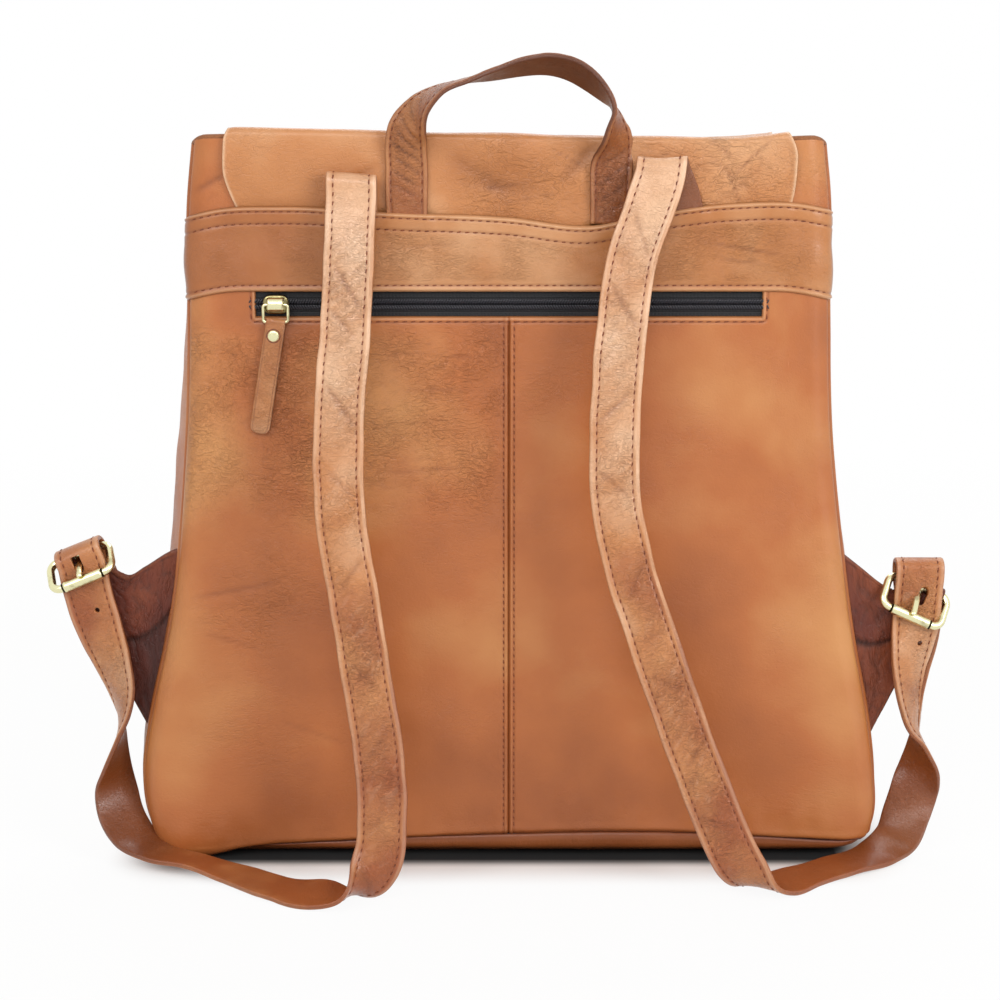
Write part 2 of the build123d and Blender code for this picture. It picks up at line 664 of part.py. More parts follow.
left_across = (-cos(radians(left_tilt)), 0, -sin(radians(left_tilt)))
left_tail_y = left_bar_y + loop_radius + running_gap + half_strap
left_strap = [
    (-77.5, seat_y, 339.4, 1, 0, 0),
    *fold(-77.5, seat_y, -69.0, 350.5, (1, 0, 0)),
    (-78.4, -76.0, 318.6, 1, 0, 0),
    (-80.3, -84.0, 280.0, 1, 0, 0),
    (-83.5, -93.0, 232.0, 1, 0, 0),
    (-82.3, -101.0, 189.0, 1, 0, 0),
    (-76.0, -107.0, 150.0, 1, 0, 0),
    (-69.8, -112.0, 111.0, 1, 0, 0),
    (-64.0, -117.0, 72.0, 1, 0, 0),
    (-62.7, -120.5, 42.0, 1, 0, 0),
    (-65.0, -123.0, 22.0, 1, 0.1, 0),
    (-70.5, -125.0, 11.5, 0.85, 0.5, -0.3),
    (-79.5, -126.0, 5.6, 0.45, 0.87, -0.1),
    (-92.0, -124.0, 4.4, 0.4, 0.9, 0.2),
    (-113.0, -113.5, 2.9, 0.5, 0.85, 0.08),
    (-139.0, -89.5, 1.8, 0.6, 0.8, 0),
    (-162.0, -76.0, 1.8, 0.5, 0.86, 0),
    (-183.0, -69.0, 2.6, 0.4, 0.9, 0.1),
    (-198.0, -60.5, 8.0, 0.62, 0.75, 0.2),
    (-205.5, -53.5, 17.0, 0.8, 0.58, 0.15),
    (-208.3, -49.0, 29.0, 0.78, 0.62, 0.05),
    (-207.6, -47.0, 41.0, 0.5, 0.86, 0),
    (-205.2, -46.0, 54.0, 0.2, 0.98, 0),
    (-203.2, -46.0, 66.0, -0.1, 1, 0),
    (-201.5, -46.5, 77.0, -0.45, 0.89, 0),
    (-201.0, -47.0, 89.0, -0.72, 0.69, 0),
    (-204.5, -47.6, 105.0, -0.92, 0.38, 0),
    (-210.5, -48.0, 124.0, -1, 0.1, 0),
    (-216.0, -48.0, 141.0, *left_across),
    *fold(-221.8, strap_y, left_tail_y, 158.9, left_across, up=(-sin(radians(left_tilt)), cos(radians(left_tilt)))),
    (-216.5, left_tail_y + 1.5, 143.0, *left_across),
    (-210.5, left_tail_y + 5.0, 126.0, -1, 0, -0.25),
    (-205.5, left_tail_y + 7.0, 108.0, -1, 0, -0.2),
]


def buckle_strap(stations, plane, slot_y, hole, name):
    """A shoulder strap with the prong's slot and the next punched hole."""
    with BuildPart() as strap:
        add(ribbon(stations, strap_width, strap_thickness))
        with BuildSketch(plane.offset(-4.5)):
            with Locations((0, slot_y)):
                SlotOverall(prong_slot, 2 * prong_radius + 4 * running_gap, rotation=90)
        extrude(amount=12.0, mode=Mode.SUBTRACT)
        with BuildSketch(Plane.XZ.offset(-hole[1] + 8)):
            with Locations((hole[0], hole[2])):
                Circle(strap_hole)
        extrude(amount=-16.0, mode=Mode.SUBTRACT)
    finish(strap, name)


buckle_strap(left_strap, left_plane, 9.0, (-212.8, strap_y, 131.0), "shoulder_strap_left")

# ---- right buckle and strap ----
right_bar_y = strap_y + half_strap + running_gap + loop_radius
right_tilt = -24.0
right_plane = buckle_plane(209.0, 127.7, right_tilt, strap_y, right_bar_y)
right_bar = buckle(right_plane, "right")
side_tab(right_plane, right_bar, (171.0, -44.0, 160.0), (187.5, -44.0, 66.0), "side_tab_right")

right_across = (-cos(radians(right_tilt)), 0, -sin(radians(right_tilt)))
right_tail_y = right_bar_y + loop_radius + running_gap + half_strap
right_strap = [
    (78.0, seat_y, 341.6, 1, 0, 0),
    *fold(78.0, seat_y, -69.0, 357.6, (1, 0, 0)),
    (69.0, -72.0, 341.0, 1, 0, -0.3),
    (60.0, -78.0, 314.0, 1, 0, -0.25),
    (55.1, -85.0, 280.3, 1, 0, 0),
    (51.7, -94.0, 232.3, 1, 0, 0),
    (52.2, -99.0, 198.4, 1, 0, 0),
    (59.2, -104.0, 164.4, 1, 0, 0),
    (69.1, -108.0, 134.2, 1, 0, 0),
    (79.1, -111.5, 105.6, 1, 0, 0),
    (88.2, -114.5, 80.0, 1, 0, 0),
    (97.7, -117.0, 55.9, 1, 0, 0),
    (106.5, -119.0, 34.0, 1, 0, 0),
    (115.0, -119.5, 17.5, 1, -0.1, 0),
    (123.5, -116.5, 7.5, 0.9, -0.45, 0),
    (134.0, -108.5, 3.6, 0.78, -0.62, -0.12),
    (149.0, -94.0, 2.4, 0.77, -0.64, -0.05),
    (170.0, -76.5, 1.9, 0.77, -0.64, 0),
    (192.5, -61.0, 3.2, 0.78, -0.6, -0.05),
    (205.6, -50.0, 9.5, 0.72, -0.66, -0.25),
    (210.0, -45.0, 19.5, 0.85, -0.45, -0.25),
    (214.0, -43.0, 31.0, 0.95, -0.25, -0.1),
    (216.5, -43.5, 42.0, 0.75, -0.66, 0),
    (216.5, -44.5, 52.0, 0.4, -0.92, 0),
    (215.2, -46.0, 61.0, 0.05, -1, 0),
    (213.8, -47.0, 70.0, -0.4, -0.92, 0),
    (213.0, -47.5, 82.0, -0.66, -0.75, 0),
    (212.6, -48.0, 97.0, -0.88, -0.47, 0),
    (211.8, -48.0, 112.0, -1, -0.2, 0.2),
    (211.0, -48.0, 126.0, *right_across),
    (212.0, -48.0, 141.0, -0.98, 0, 0.2),
    *fold(212.5, strap_y, right_tail_y, 152.6, (-1, 0, 0)),
    (212.5, right_tail_y, 141.0, -1, 0, 0),
    (212.5, right_tail_y + 4.0, 112.0, -1, 0, 0),
    (212.0, right_tail_y + 9.5, 82.0, -1, 0, 0),
    (211.5, right_tail_y + 12.0, 53.0, -1, 0, 0),
]
buckle_strap(right_strap, right_plane, 11.6, (213.5, strap_y, 113.0), "shoulder_strap_right")
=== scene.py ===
import json

import bmesh
import bpy
import numpy as np
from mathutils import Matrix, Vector


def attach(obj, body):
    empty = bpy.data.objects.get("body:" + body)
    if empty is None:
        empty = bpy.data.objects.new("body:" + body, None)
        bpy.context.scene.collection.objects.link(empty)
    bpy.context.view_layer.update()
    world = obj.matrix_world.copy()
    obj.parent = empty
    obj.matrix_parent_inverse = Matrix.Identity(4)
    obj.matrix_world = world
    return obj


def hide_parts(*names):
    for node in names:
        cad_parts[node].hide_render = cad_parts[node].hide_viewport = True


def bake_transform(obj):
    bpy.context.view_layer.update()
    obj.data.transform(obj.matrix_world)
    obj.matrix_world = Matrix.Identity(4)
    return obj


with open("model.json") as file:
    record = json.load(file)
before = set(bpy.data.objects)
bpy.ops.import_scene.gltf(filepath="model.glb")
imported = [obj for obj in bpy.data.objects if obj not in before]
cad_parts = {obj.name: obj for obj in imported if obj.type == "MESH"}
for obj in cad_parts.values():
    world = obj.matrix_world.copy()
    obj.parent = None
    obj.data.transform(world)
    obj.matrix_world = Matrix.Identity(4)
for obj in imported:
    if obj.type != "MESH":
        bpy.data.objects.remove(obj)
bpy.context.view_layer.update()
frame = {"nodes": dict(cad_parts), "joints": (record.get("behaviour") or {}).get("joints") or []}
joints = {joint["name"]: joint for joint in frame["joints"]}
mm = 0.001


# numbers and noise
def curveThrough(knots, values, at):
    # cubic through the knots; a knot's slope is the mean of its two neighbours', weighted by their lengths
    knots, values = np.asarray(knots, float), np.asarray(values, float)
    shape = values.shape[1:]
    values = values.reshape(len(knots), -1)
    gaps = np.diff(knots)[:, None]
    steps = np.diff(values, axis=0) / gaps
    inner = (steps[:-1] * gaps[1:] + steps[1:] * gaps[:-1]) / (gaps[:-1] + gaps[1:])
    slopes = np.vstack([steps[:1], inner, steps[-1:]])
    at = np.asarray(at, float)
    span = np.clip(np.searchsorted(knots, at, side="right") - 1, 0, len(knots) - 2)
    gap = gaps[span]
    t = np.clip((at - knots[span])[..., None] / gap, 0, 1)
    found = ((2 * t**3 - 3 * t**2 + 1) * values[span] + (3 * t**2 - 2 * t**3) * values[span + 1]
             + gap * ((t**3 - 2 * t**2 + t) * slopes[span] + (t**3 - t**2) * slopes[span + 1]))
    return found.reshape(at.shape + shape)


def lineThrough(pairs, at):
    # the same cubic for a list of (place, value) pairs
    pairs = np.array(pairs, float)
    return curveThrough(pairs[:, 0], pairs[:, 1], np.clip(at, pairs[0, 0], pairs[-1, 0]))


def waves(u, v, size, seed, stretch=1.0, count=14):
    # smooth noise from -1 to 1: a mean of sine waves of random direction and phase, about size long
    chance = np.random.default_rng(seed)
    total = np.zeros(np.broadcast(u, v).shape)
    for angle, phase, scale in chance.uniform((0, 0, 0.6), (np.pi, 2 * np.pi, 1.6), (count, 3)):
        length = size * scale
        total += np.sin(2 * np.pi * (u * np.cos(angle) / stretch + v * np.sin(angle)) / length + phase)
    return total / np.sqrt(count / 2) / 2


def creases(u, v, size, seed, stretch=1.0, sharp=7.0):
    # thin valleys, 1 at their floor and 0 between them, along the zero lines of a warped noise
    warpU = u + size * 0.35 * waves(u, v, size * 1.7, seed + 50)
    warpV = v + size * 0.35 * waves(u, v, size * 1.7, seed + 51)
    return np.exp(-sharp * np.abs(waves(warpU, warpV, size, seed, stretch)))


def bump(at, centre, width):
    # bell curve, 1 at the centre
    return np.exp(-((at - centre) / width) ** 2)


def step(at, low, high):
    # smooth rise from 0 at low to 1 at high
    t = np.clip((at - low) / (high - low), 0, 1)
    return t * t * (3 - 2 * t)


def foldLines(u, v, rows):
    # straight creases, each from one place to another with a width and a depth, fading out at its ends
    total = 0 * u
    for startU, startV, endU, endV, width, depth in rows:
        spanU, spanV = endU - startU, endV - startV
        length = np.hypot(spanU, spanV)
        along = ((u - startU) * spanU + (v - startV) * spanV) / length
        away = ((u - startU) * spanV - (v - startV) * spanU) / length
        ends = step(along, 0, 0.3 * length) * (1 - step(along, 0.7 * length, length))
        total = total + depth * bump(away, 0, width) * ends
    return total


def clustered(low, high, spacing, lines=(), fine=0.4, reach=3.5):
    # places from low to high, closer together near the given lines
    grid = [low]
    while grid[-1] < high:
        near = min([abs(grid[-1] - line) for line in lines] + [1e9])
        wider = min(spacing, fine + (near - reach) * 0.35)
        grid.append(grid[-1] + (fine if near < reach else wider))
    grid = np.array(grid)
    return low + (grid - low) * (high - low) / (grid[-1] - low)


# meshes
def unit(vectors):
    return vectors / np.maximum(np.linalg.norm(vectors, axis=-1, keepdims=True), 1e-12)


def slopesOf(points, axis, closed):
    # central differences along one way of a grid
    if closed:
        return np.roll(points, -1, axis) - np.roll(points, 1, axis)
    return np.gradient(points, axis=axis)


def normalsOf(points, closed=False):
    # cross product of the slopes along the columns and along the rows
    return unit(np.cross(slopesOf(points, 1, closed), slopesOf(points, 0, False)))


def runAlong(path):
    # distance run from the start of a path to each of its points
    return np.concatenate([[0.0], np.cumsum(np.linalg.norm(np.diff(path, axis=0), axis=1))])


def lengthsAlong(points, axis):
    # distance run along one way of a grid, averaged over the other way
    run = np.linalg.norm(np.diff(points, axis=axis), axis=2).mean(axis=1 - axis)
    return np.concatenate([[0.0], np.cumsum(run)])


def newObject(name, vertices, faces, material, body=None, replaces=(), slot=None):
    mesh = bpy.data.meshes.new(name)
    mesh.from_pydata(vertices, [], faces)
    mesh.polygons.foreach_set("use_smooth", np.ones(len(mesh.polygons), bool))
    mesh.materials.append(material)
    mesh.update()
    piece = bpy.data.objects.new(name, mesh)
    bpy.context.scene.collection.objects.link(piece)
    if body:
        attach(piece, body)
    if replaces:
        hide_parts(*replaces)
    return piece


def gridFaces(rows, columns, closed=False, keep=None, ring=False):
    # quads between neighbouring rows and columns, facing along column slope x row slope
    across = np.arange(columns if closed else columns - 1)
    row, column = np.meshgrid(np.arange(rows if ring else rows - 1), across, indexing="ij")
    after, below = (column + 1) % columns, (row + 1) % rows
    corners = [row * columns + column, row * columns + after,
               below * columns + after, below * columns + column]
    quads = np.stack(corners, axis=-1)
    return quads[keep] if keep is not None else quads.reshape(-1, 4)


def addAttribute(piece, name, values):
    layer = piece.data.attributes.new(name, "FLOAT", "POINT")
    layer.data.foreach_set("value", np.ravel(values).astype(np.float32))


def gridObject(name, points, material, closed=False, keep=None, uv=None, fields=None, thickness=0.0,
               rim=None, lining=None, caps=False, ring=False, weld=False, planar=False, **rest):
    # a mesh from a grid of points, in millimetres, with a UV map in metres of leather
    rows, columns = points.shape[:2]
    faces = gridFaces(rows, columns, closed, keep, ring)
    faceList = faces.tolist()
    if caps:
        faceList += [list(range(columns))[::-1], [(rows - 1) * columns + c for c in range(columns)]]
    piece = newObject(name, (points.reshape(-1, 3) * mm).tolist(), faceList, material, **rest)
    if uv is None:
        across, down = lengthsAlong(points, 1), lengthsAlong(points, 0)
        uv = np.stack(np.broadcast_arrays(across[None, :], down[:, None]), -1)
    corner = np.zeros(len(piece.data.loops), int)
    piece.data.loops.foreach_get("vertex_index", corner)
    layer = piece.data.uv_layers.new(name="leatherPlane")
    coordinates = (uv.reshape(-1, 2) * mm)[corner]
    if closed and not planar:  # the last column of faces runs on past the seam instead of back
        wrap = 2 * uv[:, -1, 0].mean() - uv[:, -2, 0].mean()
        sides = coordinates[:len(faces) * 4].reshape(-1, 4, 2)
        last = faces[:, 0] % columns == columns - 1
        sides[last, 1, 0] = sides[last, 2, 0] = wrap * mm
    layer.data.foreach_set("uv", coordinates.astype(np.float32).ravel())
    for field, values in (fields or {}).items():
        addAttribute(piece, field, np.clip(values, -1.5, 1.5) + 0 * points[..., 0])
    if weld:
        solid = bmesh.new()
        solid.from_mesh(piece.data)
        bmesh.ops.remove_doubles(solid, verts=solid.verts, dist=1e-6)
        solid.to_mesh(piece.data)
        solid.free()
    if thickness:
        for extra in (lining or material, rim or material):
            piece.data.materials.append(extra)
        wall = piece.modifiers.new("thickness", "SOLIDIFY")
        wall.thickness = thickness * mm
        wall.offset = -1.0
        wall.use_even_offset = False
        wall.material_offset, wall.material_offset_rim = 1, 2
    return piece


def roundTurn(sides):
    # angles evenly spaced round a full turn
    return np.arange(sides) * 2 * np.pi / sides


def lathe(name, centre, axis, profile, material, sides=32, ring=False, **rest):
    # a profile of (distance along the axis, radius) turned round it; with ring the profile closes on itself
    axis = unit(np.array(axis, float))
    aside = unit(np.cross(axis, (0.3, 0.5, 0.81)))
    other = np.cross(axis, aside)
    turn = roundTurn(sides)
    along, radius = np.array(profile, float).T
    spoke = aside * np.cos(turn)[:, None] + other * np.sin(turn)[:, None]
    points = np.array(centre, float) + axis * along[:, None, None] + spoke[None] * radius[:, None, None]
    return gridObject(name, points, material, closed=True, ring=ring, weld=True, **rest)


def tube(name, path, radius, material, normal, sides=14, ring=False, squash=1.0, caps=False, **rest):
    # circles carried along a path and squashed along the normal; each radius may differ
    path = np.array(path, float)
    ahead = np.roll(path, -1, 0) - np.roll(path, 1, 0) if ring else np.gradient(path, axis=0)
    ahead = unit(ahead)
    normal = np.broadcast_to(np.array(normal, float), path.shape)
    up = unit(normal - ahead * (normal * ahead).sum(1, keepdims=True))
    across = np.cross(up, ahead)
    turn = roundTurn(sides)
    radius = np.broadcast_to(radius, len(path))[:, None, None]
    points = (path[:, None] + across[:, None] * np.cos(turn)[None, :, None] * radius
              + up[:, None] * np.sin(turn)[None, :, None] * radius * squash)
    return gridObject(name, points, material, closed=True, ring=ring, caps=caps, **rest)


def roundedLoop(halfWidth, height, corner, steps=8):
    # a rectangle with round corners, from x -halfWidth to halfWidth and y 0 to height
    turn = np.linspace(0, np.pi / 2, steps)
    centres = [(halfWidth - corner, corner, -np.pi / 2), (halfWidth - corner, height - corner, 0.0),
               (corner - halfWidth, height - corner, np.pi / 2), (corner - halfWidth, corner, np.pi)]
    corners = [np.stack([x + corner * np.cos(turn + start), y + corner * np.sin(turn + start)], -1)
               for x, y, start in centres]
    return np.concatenate(corners)


def resample(path, normals, pitch, margin=0.0):
    # evenly spaced places along a path, with their directions and normals
    run = runAlong(path)
    count = max(2, int(round((run[-1] - 2 * margin) / pitch)))
    at = margin + (np.arange(count) + 0.5) * (run[-1] - 2 * margin) / count
    spread = [np.interp(at, run, path[:, k]) for k in range(3)]
    upright = [np.interp(at, run, normals[:, k]) for k in range(3)]
    after, before = [[np.interp(at + move, run, path[:, k]) for k in range(3)] for move in (0.5, -0.5)]
    ahead = np.array(after) - np.array(before)
    return np.array(spread).T, unit(ahead.T), unit(np.array(upright).T)


thread = {"length": 3.0, "pitch": 4.4, "radius": 0.36, "rings": (-0.5, -0.34, 0.0, 0.34, 0.5), "sides": 6,
          "sink": 0.3, "slant": 0.14, "lift": 0.15}


def stitchRows(name, rows, material, pitch=thread["pitch"], seed=1, length=None, slant=thread["slant"],
               jitter=0.05, radius=thread["radius"], **rest):
    # each stitch is a bent capsule: rings along its length whose ends dip into the leather
    chance = np.random.default_rng(seed)
    rings, sides = np.array(thread["rings"]), thread["sides"]
    turn = roundTurn(sides)
    fat = np.sqrt(np.maximum(1 - (rings / 0.56) ** 4, 0.05))
    vertices, faces, total = [], [], 0
    for path, normals in rows:
        centre, ahead, up = resample(path, normals, pitch, margin=0.3)
        side = unit(np.cross(up, ahead))
        tilt = slant + chance.normal(0, jitter, len(centre))
        ahead = unit(ahead + side * tilt[:, None])
        side = unit(np.cross(up, ahead))
        usual = length or thread["length"] * min(1.0, pitch / thread["pitch"])
        long = usual * chance.uniform(1 - 2 * jitter, 1 + jitter, len(centre))
        lift = radius * thread["lift"] - thread["sink"] * (np.abs(rings) / 0.5) ** 3
        spine = (centre[:, None] + ahead[:, None] * (long[:, None] * rings)[..., None]
                 + up[:, None] * lift[None, :, None])
        around = (side[:, None, None] * np.cos(turn)[None, None, :, None]
                  + up[:, None, None] * np.sin(turn)[None, None, :, None])
        points = spine[:, :, None] + around * (radius * fat)[None, :, None, None]
        vertices.append(points.reshape(-1, 3))
        one = gridFaces(len(rings), sides, closed=True)[:, ::-1].tolist()
        one += [list(range(sides)), [(len(rings) - 1) * sides + k for k in range(sides)][::-1]]
        size = len(rings) * sides
        faces += [[total + place * size + k for k in face] for place in range(len(centre)) for face in one]
        total += len(centre) * size
    return newObject(name, (np.vstack(vertices) * mm).tolist(), faces, material, **rest)


def punched(piece, cutters):
    # each closed cutter is taken out of the piece for good
    for cutter in cutters:
        cut = piece.modifiers.new("cut", "BOOLEAN")
        cut.object = cutter
        cut.solver = "EXACT"
    graph = bpy.context.evaluated_depsgraph_get()
    done = bpy.data.meshes.new_from_object(piece.evaluated_get(graph))
    piece.modifiers.clear()
    piece.data = done
    for cutter in cutters:
        bpy.data.objects.remove(cutter)


# materials
def hexColour(code, share=1.0):
    # sRGB hex to linear, darker or lighter by a share
    parts = [int(code[place:place + 2], 16) / 255 for place in (1, 3, 5)]
    linear = [part / 12.92 if part <= 0.04045 else ((part + 0.055) / 1.055) ** 2.4 for part in parts]
    return [min(1.0, part * share) for part in linear] + [1.0]


def connect(tree, node, inputs):
    # each input gets a value, a node's first output or a (node, output) pair
    for name, value in inputs.items():
        source, output = value if isinstance(value, tuple) and len(value) == 2 else (value, 0)
        if isinstance(source, bpy.types.Node):
            tree.links.new(source.outputs[output], node.inputs[name])
        else:
            node.inputs[name].default_value = value


def addNode(tree, kind, inputs=None, stops=(), **settings):
    # one node: its settings, the stops of its colour ramp, then its inputs
    node = tree.nodes.new("ShaderNode" + kind)
    for name, value in settings.items():
        setattr(node, name, value)
    for place, (at, colour) in enumerate(stops):
        stop = node.color_ramp.elements[place] if place < 2 else node.color_ramp.elements.new(at)
        stop.position, stop.color = at, colour
    connect(tree, node, inputs or {})
    return node


def newMaterial(name):
    material = bpy.data.materials.new(name)
    material.use_nodes = True
    tree = material.node_tree
    return material, tree, tree.nodes["Principled BSDF"]


def per(size):
    # texture scale for features of this size in millimetres
    return 1000.0 / size





# semi-aniline cowhide, drum dyed and lightly waxed: clear tan with painted shade in its creases and wrinkle
# lines, high spots paler from pull-up wear and painted highlight, and a soft shine; wrinkles are thin branching
# lines at three sizes, and a fine pebble grain covers all
leatherKeys = ("deep", "mid", "pale", "shadeAndRubColour", "worn", "mottle", "blotch", "wrinkle", "lean", "stretch",
               "depth", "wrinkleShade", "even", "grain", "grainDepth", "rough", "coat")
leatherRows = {
    "Body": ("#9A5426", "#B06531", "#C68850", "#6F3617", "#E0AE80", 75.0, 14.0, 9.0, 0.1, 2.2,
             0.3, 0.13, 0.3, 1.1, 0.5, 0.42, 0.1),
    "Strap": ("#9C5224", "#C07E4A", "#E2B48E", "#7A3F1B", "#F4D4B8", 45.0, 8.0, 6.0, 0.75, 1.8,
              0.42, 0.16, 0.55, 1.0, 0.6, 0.33, 0.25),
    "Flap": ("#AA6935", "#BE7D49", "#D6A275", "#77421F", "#EAC4A0", 60.0, 12.0, 12.0, -0.5, 1.8,
             0.36, 0.22, 0.35, 1.3, 0.55, 0.4, 0.14),
    "Band": ("#A05E2E", "#B3723D", "#D2A074", "#733C1B", "#E6BC94", 70.0, 10.0, 6.5, 0.1, 2.6,
             0.3, 0.2, 0.4, 1.1, 0.5, 0.38, 0.16),
    "Handle": ("#7C4018", "#98562A", "#BC7C48", "#4C220C", "#E0AC7C", 40.0, 9.0, 8.0, 0.7, 1.8,
               0.4, 0.2, 0.3, 1.1, 0.5, 0.38, 0.14),
    "Dark": ("#451404", "#62230A", "#86401E", "#260A02", "#A86A42", 35.0, 10.0, 9.0, 0.4, 1.4,
             0.3, 0.3, 0.3, 1.1, 0.4, 0.5, 0.05),
}
# size beside the look's own, half the width of a line, weight
wrinkleSizes = ((1.0, 0.022, 1.0), (0.5, 0.03, 0.8), (0.22, 0.05, 0.55))


def leatherMaterial(name, look):
    # crush is how wrinkled the leather is, relief is -1 in a crease and +1 on a ridge, tone is -1 to 1 of
    # broad painted light and shade with some uneven dye, edge is 1 at a rubbed edge and where shade is painted
    material, tree, shader = newMaterial(name)
    where = addNode(tree, "UVMap", uv_map="leatherPlane")
    mottle = addNode(tree, "TexNoise", {"Vector": where, "Scale": per(look["mottle"]), "Detail": 2.0})
    blotch = addNode(tree, "TexNoise", {"Vector": where, "Scale": per(look["blotch"]), "Detail": 3.0})
    tone, relief, edge, crush = [(addNode(tree, "Attribute", attribute_name=field), "Fac")
                                 for field in ("tone", "relief", "edge", "crush")]
    mixed = addNode(tree, "Math", {0: blotch, 1: 0.16, 2: mottle}, operation="MULTIPLY_ADD")
    shade = addNode(tree, "Math", {0: tone, 1: 0.24, 2: mixed}, operation="MULTIPLY_ADD")
    stops = [(0.32, hexColour(look["deep"])), (0.95, hexColour(look["pale"])), (0.6, hexColour(look["mid"]))]
    shown = addNode(tree, "ValToRGB", {"Fac": shade}, stops)
    # wrinkles: the thin line where a warped, turned and stretched noise crosses its middle
    size, shadeAndRubColour = look["wrinkle"], hexColour(look["shadeAndRubColour"])
    turned = addNode(tree, "Mapping", {"Vector": where, "Rotation": (0.0, 0.0, look["lean"]),
                                       "Scale": (1.0, look["stretch"], 1.0)})
    warp = addNode(tree, "TexNoise", {"Vector": where, "Scale": per(size * 1.1), "Detail": 2.0})
    warped = addNode(tree, "VectorMath", {0: (warp, "Color"), 1: (size * 0.7 * mm,) * 3, 2: turned},
                     operation="MULTIPLY_ADD")
    lines = 0.0
    for scale, thin, weight in wrinkleSizes:
        field = addNode(tree, "TexNoise", {"Vector": warped, "Scale": per(size * scale), "Detail": 1.5,
                                           "Roughness": 0.6})
        middle = addNode(tree, "Math", {0: field, 1: 0.5}, operation="SUBTRACT")
        away = addNode(tree, "Math", {0: middle}, operation="ABSOLUTE")
        line = addNode(tree, "MapRange", {"Value": away, "From Max": thin, "To Min": weight, "To Max": 0.0},
                       interpolation_type="SMOOTHSTEP")
        lines = addNode(tree, "Math", {0: lines, 1: line}, operation="MAXIMUM")
    patchy = addNode(tree, "TexNoise", {"Vector": where, "Scale": per(size * 3.2), "Detail": 2.0})
    patches = addNode(tree, "MapRange", {"Value": patchy, "From Min": 0.36, "From Max": 0.6,
                                         "To Min": look["even"], "To Max": 1.1})
    spread = addNode(tree, "Math", {0: patches, 1: crush}, operation="MULTIPLY")
    wrinkle = addNode(tree, "Math", {0: lines, 1: spread}, operation="MULTIPLY")
    # painted shade in creases and a painted highlight, with pull-up wear, on ridges, both from the relief field
    creaseShadeShare = addNode(tree, "MapRange", {"Value": relief, "From Min": -1.0, "From Max": 0.0, "To Min": 0.8,
                                        "To Max": 0.0})
    ridge = addNode(tree, "MapRange", {"Value": relief, "To Max": 0.55})
    # painted shade along the wrinkle lines
    wrinkleShadeShare = addNode(tree, "Math", {0: wrinkle, 1: look["wrinkleShade"]}, operation="MULTIPLY")
    # each colour over the one before: painted shade in creases, ridges paler from pull-up wear and painted
    # highlight, painted shade in wrinkle lines, rubbed edges and painted shade
    for share, over in ((creaseShadeShare, shadeAndRubColour), (ridge, hexColour(look["worn"])), (wrinkleShadeShare, shadeAndRubColour), (edge, shadeAndRubColour)):
        shown = addNode(tree, "Mix", {0: share, 6: shown, 7: over}, data_type="RGBA"), 2
    gloss = addNode(tree, "MapRange", {"Value": blotch, "From Min": 0.3, "From Max": 0.75,
                                       "To Min": look["rough"] - 0.05, "To Max": look["rough"] + 0.08})
    # relief: swollen skin between the wrinkles, the wrinkles themselves and the pebble grain
    grain = addNode(tree, "TexVoronoi", {"Vector": where, "Scale": per(look["grain"]), "Randomness": 0.95},
                    feature="SMOOTH_F1")
    fine = addNode(tree, "TexNoise", {"Vector": where, "Scale": per(0.5), "Detail": 2.0})
    pebble = addNode(tree, "Math", {0: fine, 1: 0.4, 2: grain}, operation="MULTIPLY_ADD")
    swell = addNode(tree, "TexNoise", {"Vector": warped, "Scale": per(size * 0.9), "Detail": 1.0})
    swollen = addNode(tree, "Math", {0: swell, 1: spread}, operation="MULTIPLY")
    rolled = addNode(tree, "Bump", {"Height": swollen, "Strength": 1.0, "Distance": 2.4 * look["depth"] * mm})
    grooved = addNode(tree, "Bump", {"Height": wrinkle, "Strength": 1.0, "Distance": look["depth"] * mm,
                                     "Normal": rolled}, invert=True)
    bumped = addNode(tree, "Bump", {"Height": pebble, "Strength": look["grainDepth"], "Distance": 0.14 * mm,
                                    "Normal": grooved})
    connect(tree, shader, {"Base Color": shown, "Roughness": gloss, "Normal": bumped,
                           "Coat Weight": look["coat"], "Coat Roughness": 0.28})
    return material


def suedeMaterial(name, code):
    # flesh side and cut edges of the hide: matt, fibrous, a little fuzzy
    material, tree, shader = newMaterial(name)
    place = addNode(tree, "TexCoord"), "Object"
    fibre = addNode(tree, "TexNoise", {"Vector": place, "Scale": per(1.2), "Detail": 5.0, "Roughness": 0.7})
    stops = [(0.3, hexColour(code, 0.7)), (0.75, hexColour(code, 1.25))]
    colour = addNode(tree, "ValToRGB", {"Fac": fibre}, stops)
    bumped = addNode(tree, "Bump", {"Height": fibre, "Strength": 0.5, "Distance": 0.3 * mm})
    connect(tree, shader, {"Base Color": colour, "Normal": bumped, "Roughness": 0.85, "Sheen Weight": 0.15})
    return material


def wovenMaterial(name, code, spacing, rough=0.8, slope=0.5):
    # plain weave: two sets of threads crossing, spacing in millimetres
    material, tree, shader = newMaterial(name)
    pattern = {"Vector": (addNode(tree, "TexCoord"), "Object"), "Scale": per(spacing) / 6.283}
    sets = [addNode(tree, "TexWave", pattern, bands_direction=way) for way in "XZ"]
    both = addNode(tree, "Math", {place: (each, "Fac") for place, each in enumerate(sets)},
                   operation="MULTIPLY")
    stops = [(0.0, hexColour(code, 0.6)), (0.8, hexColour(code, 1.5))]
    colour = addNode(tree, "ValToRGB", {"Fac": both}, stops)
    bumped = addNode(tree, "Bump", {"Height": both, "Strength": slope, "Distance": 0.2 * mm})
    connect(tree, shader, {"Base Color": colour, "Normal": bumped, "Roughness": rough})
    return material


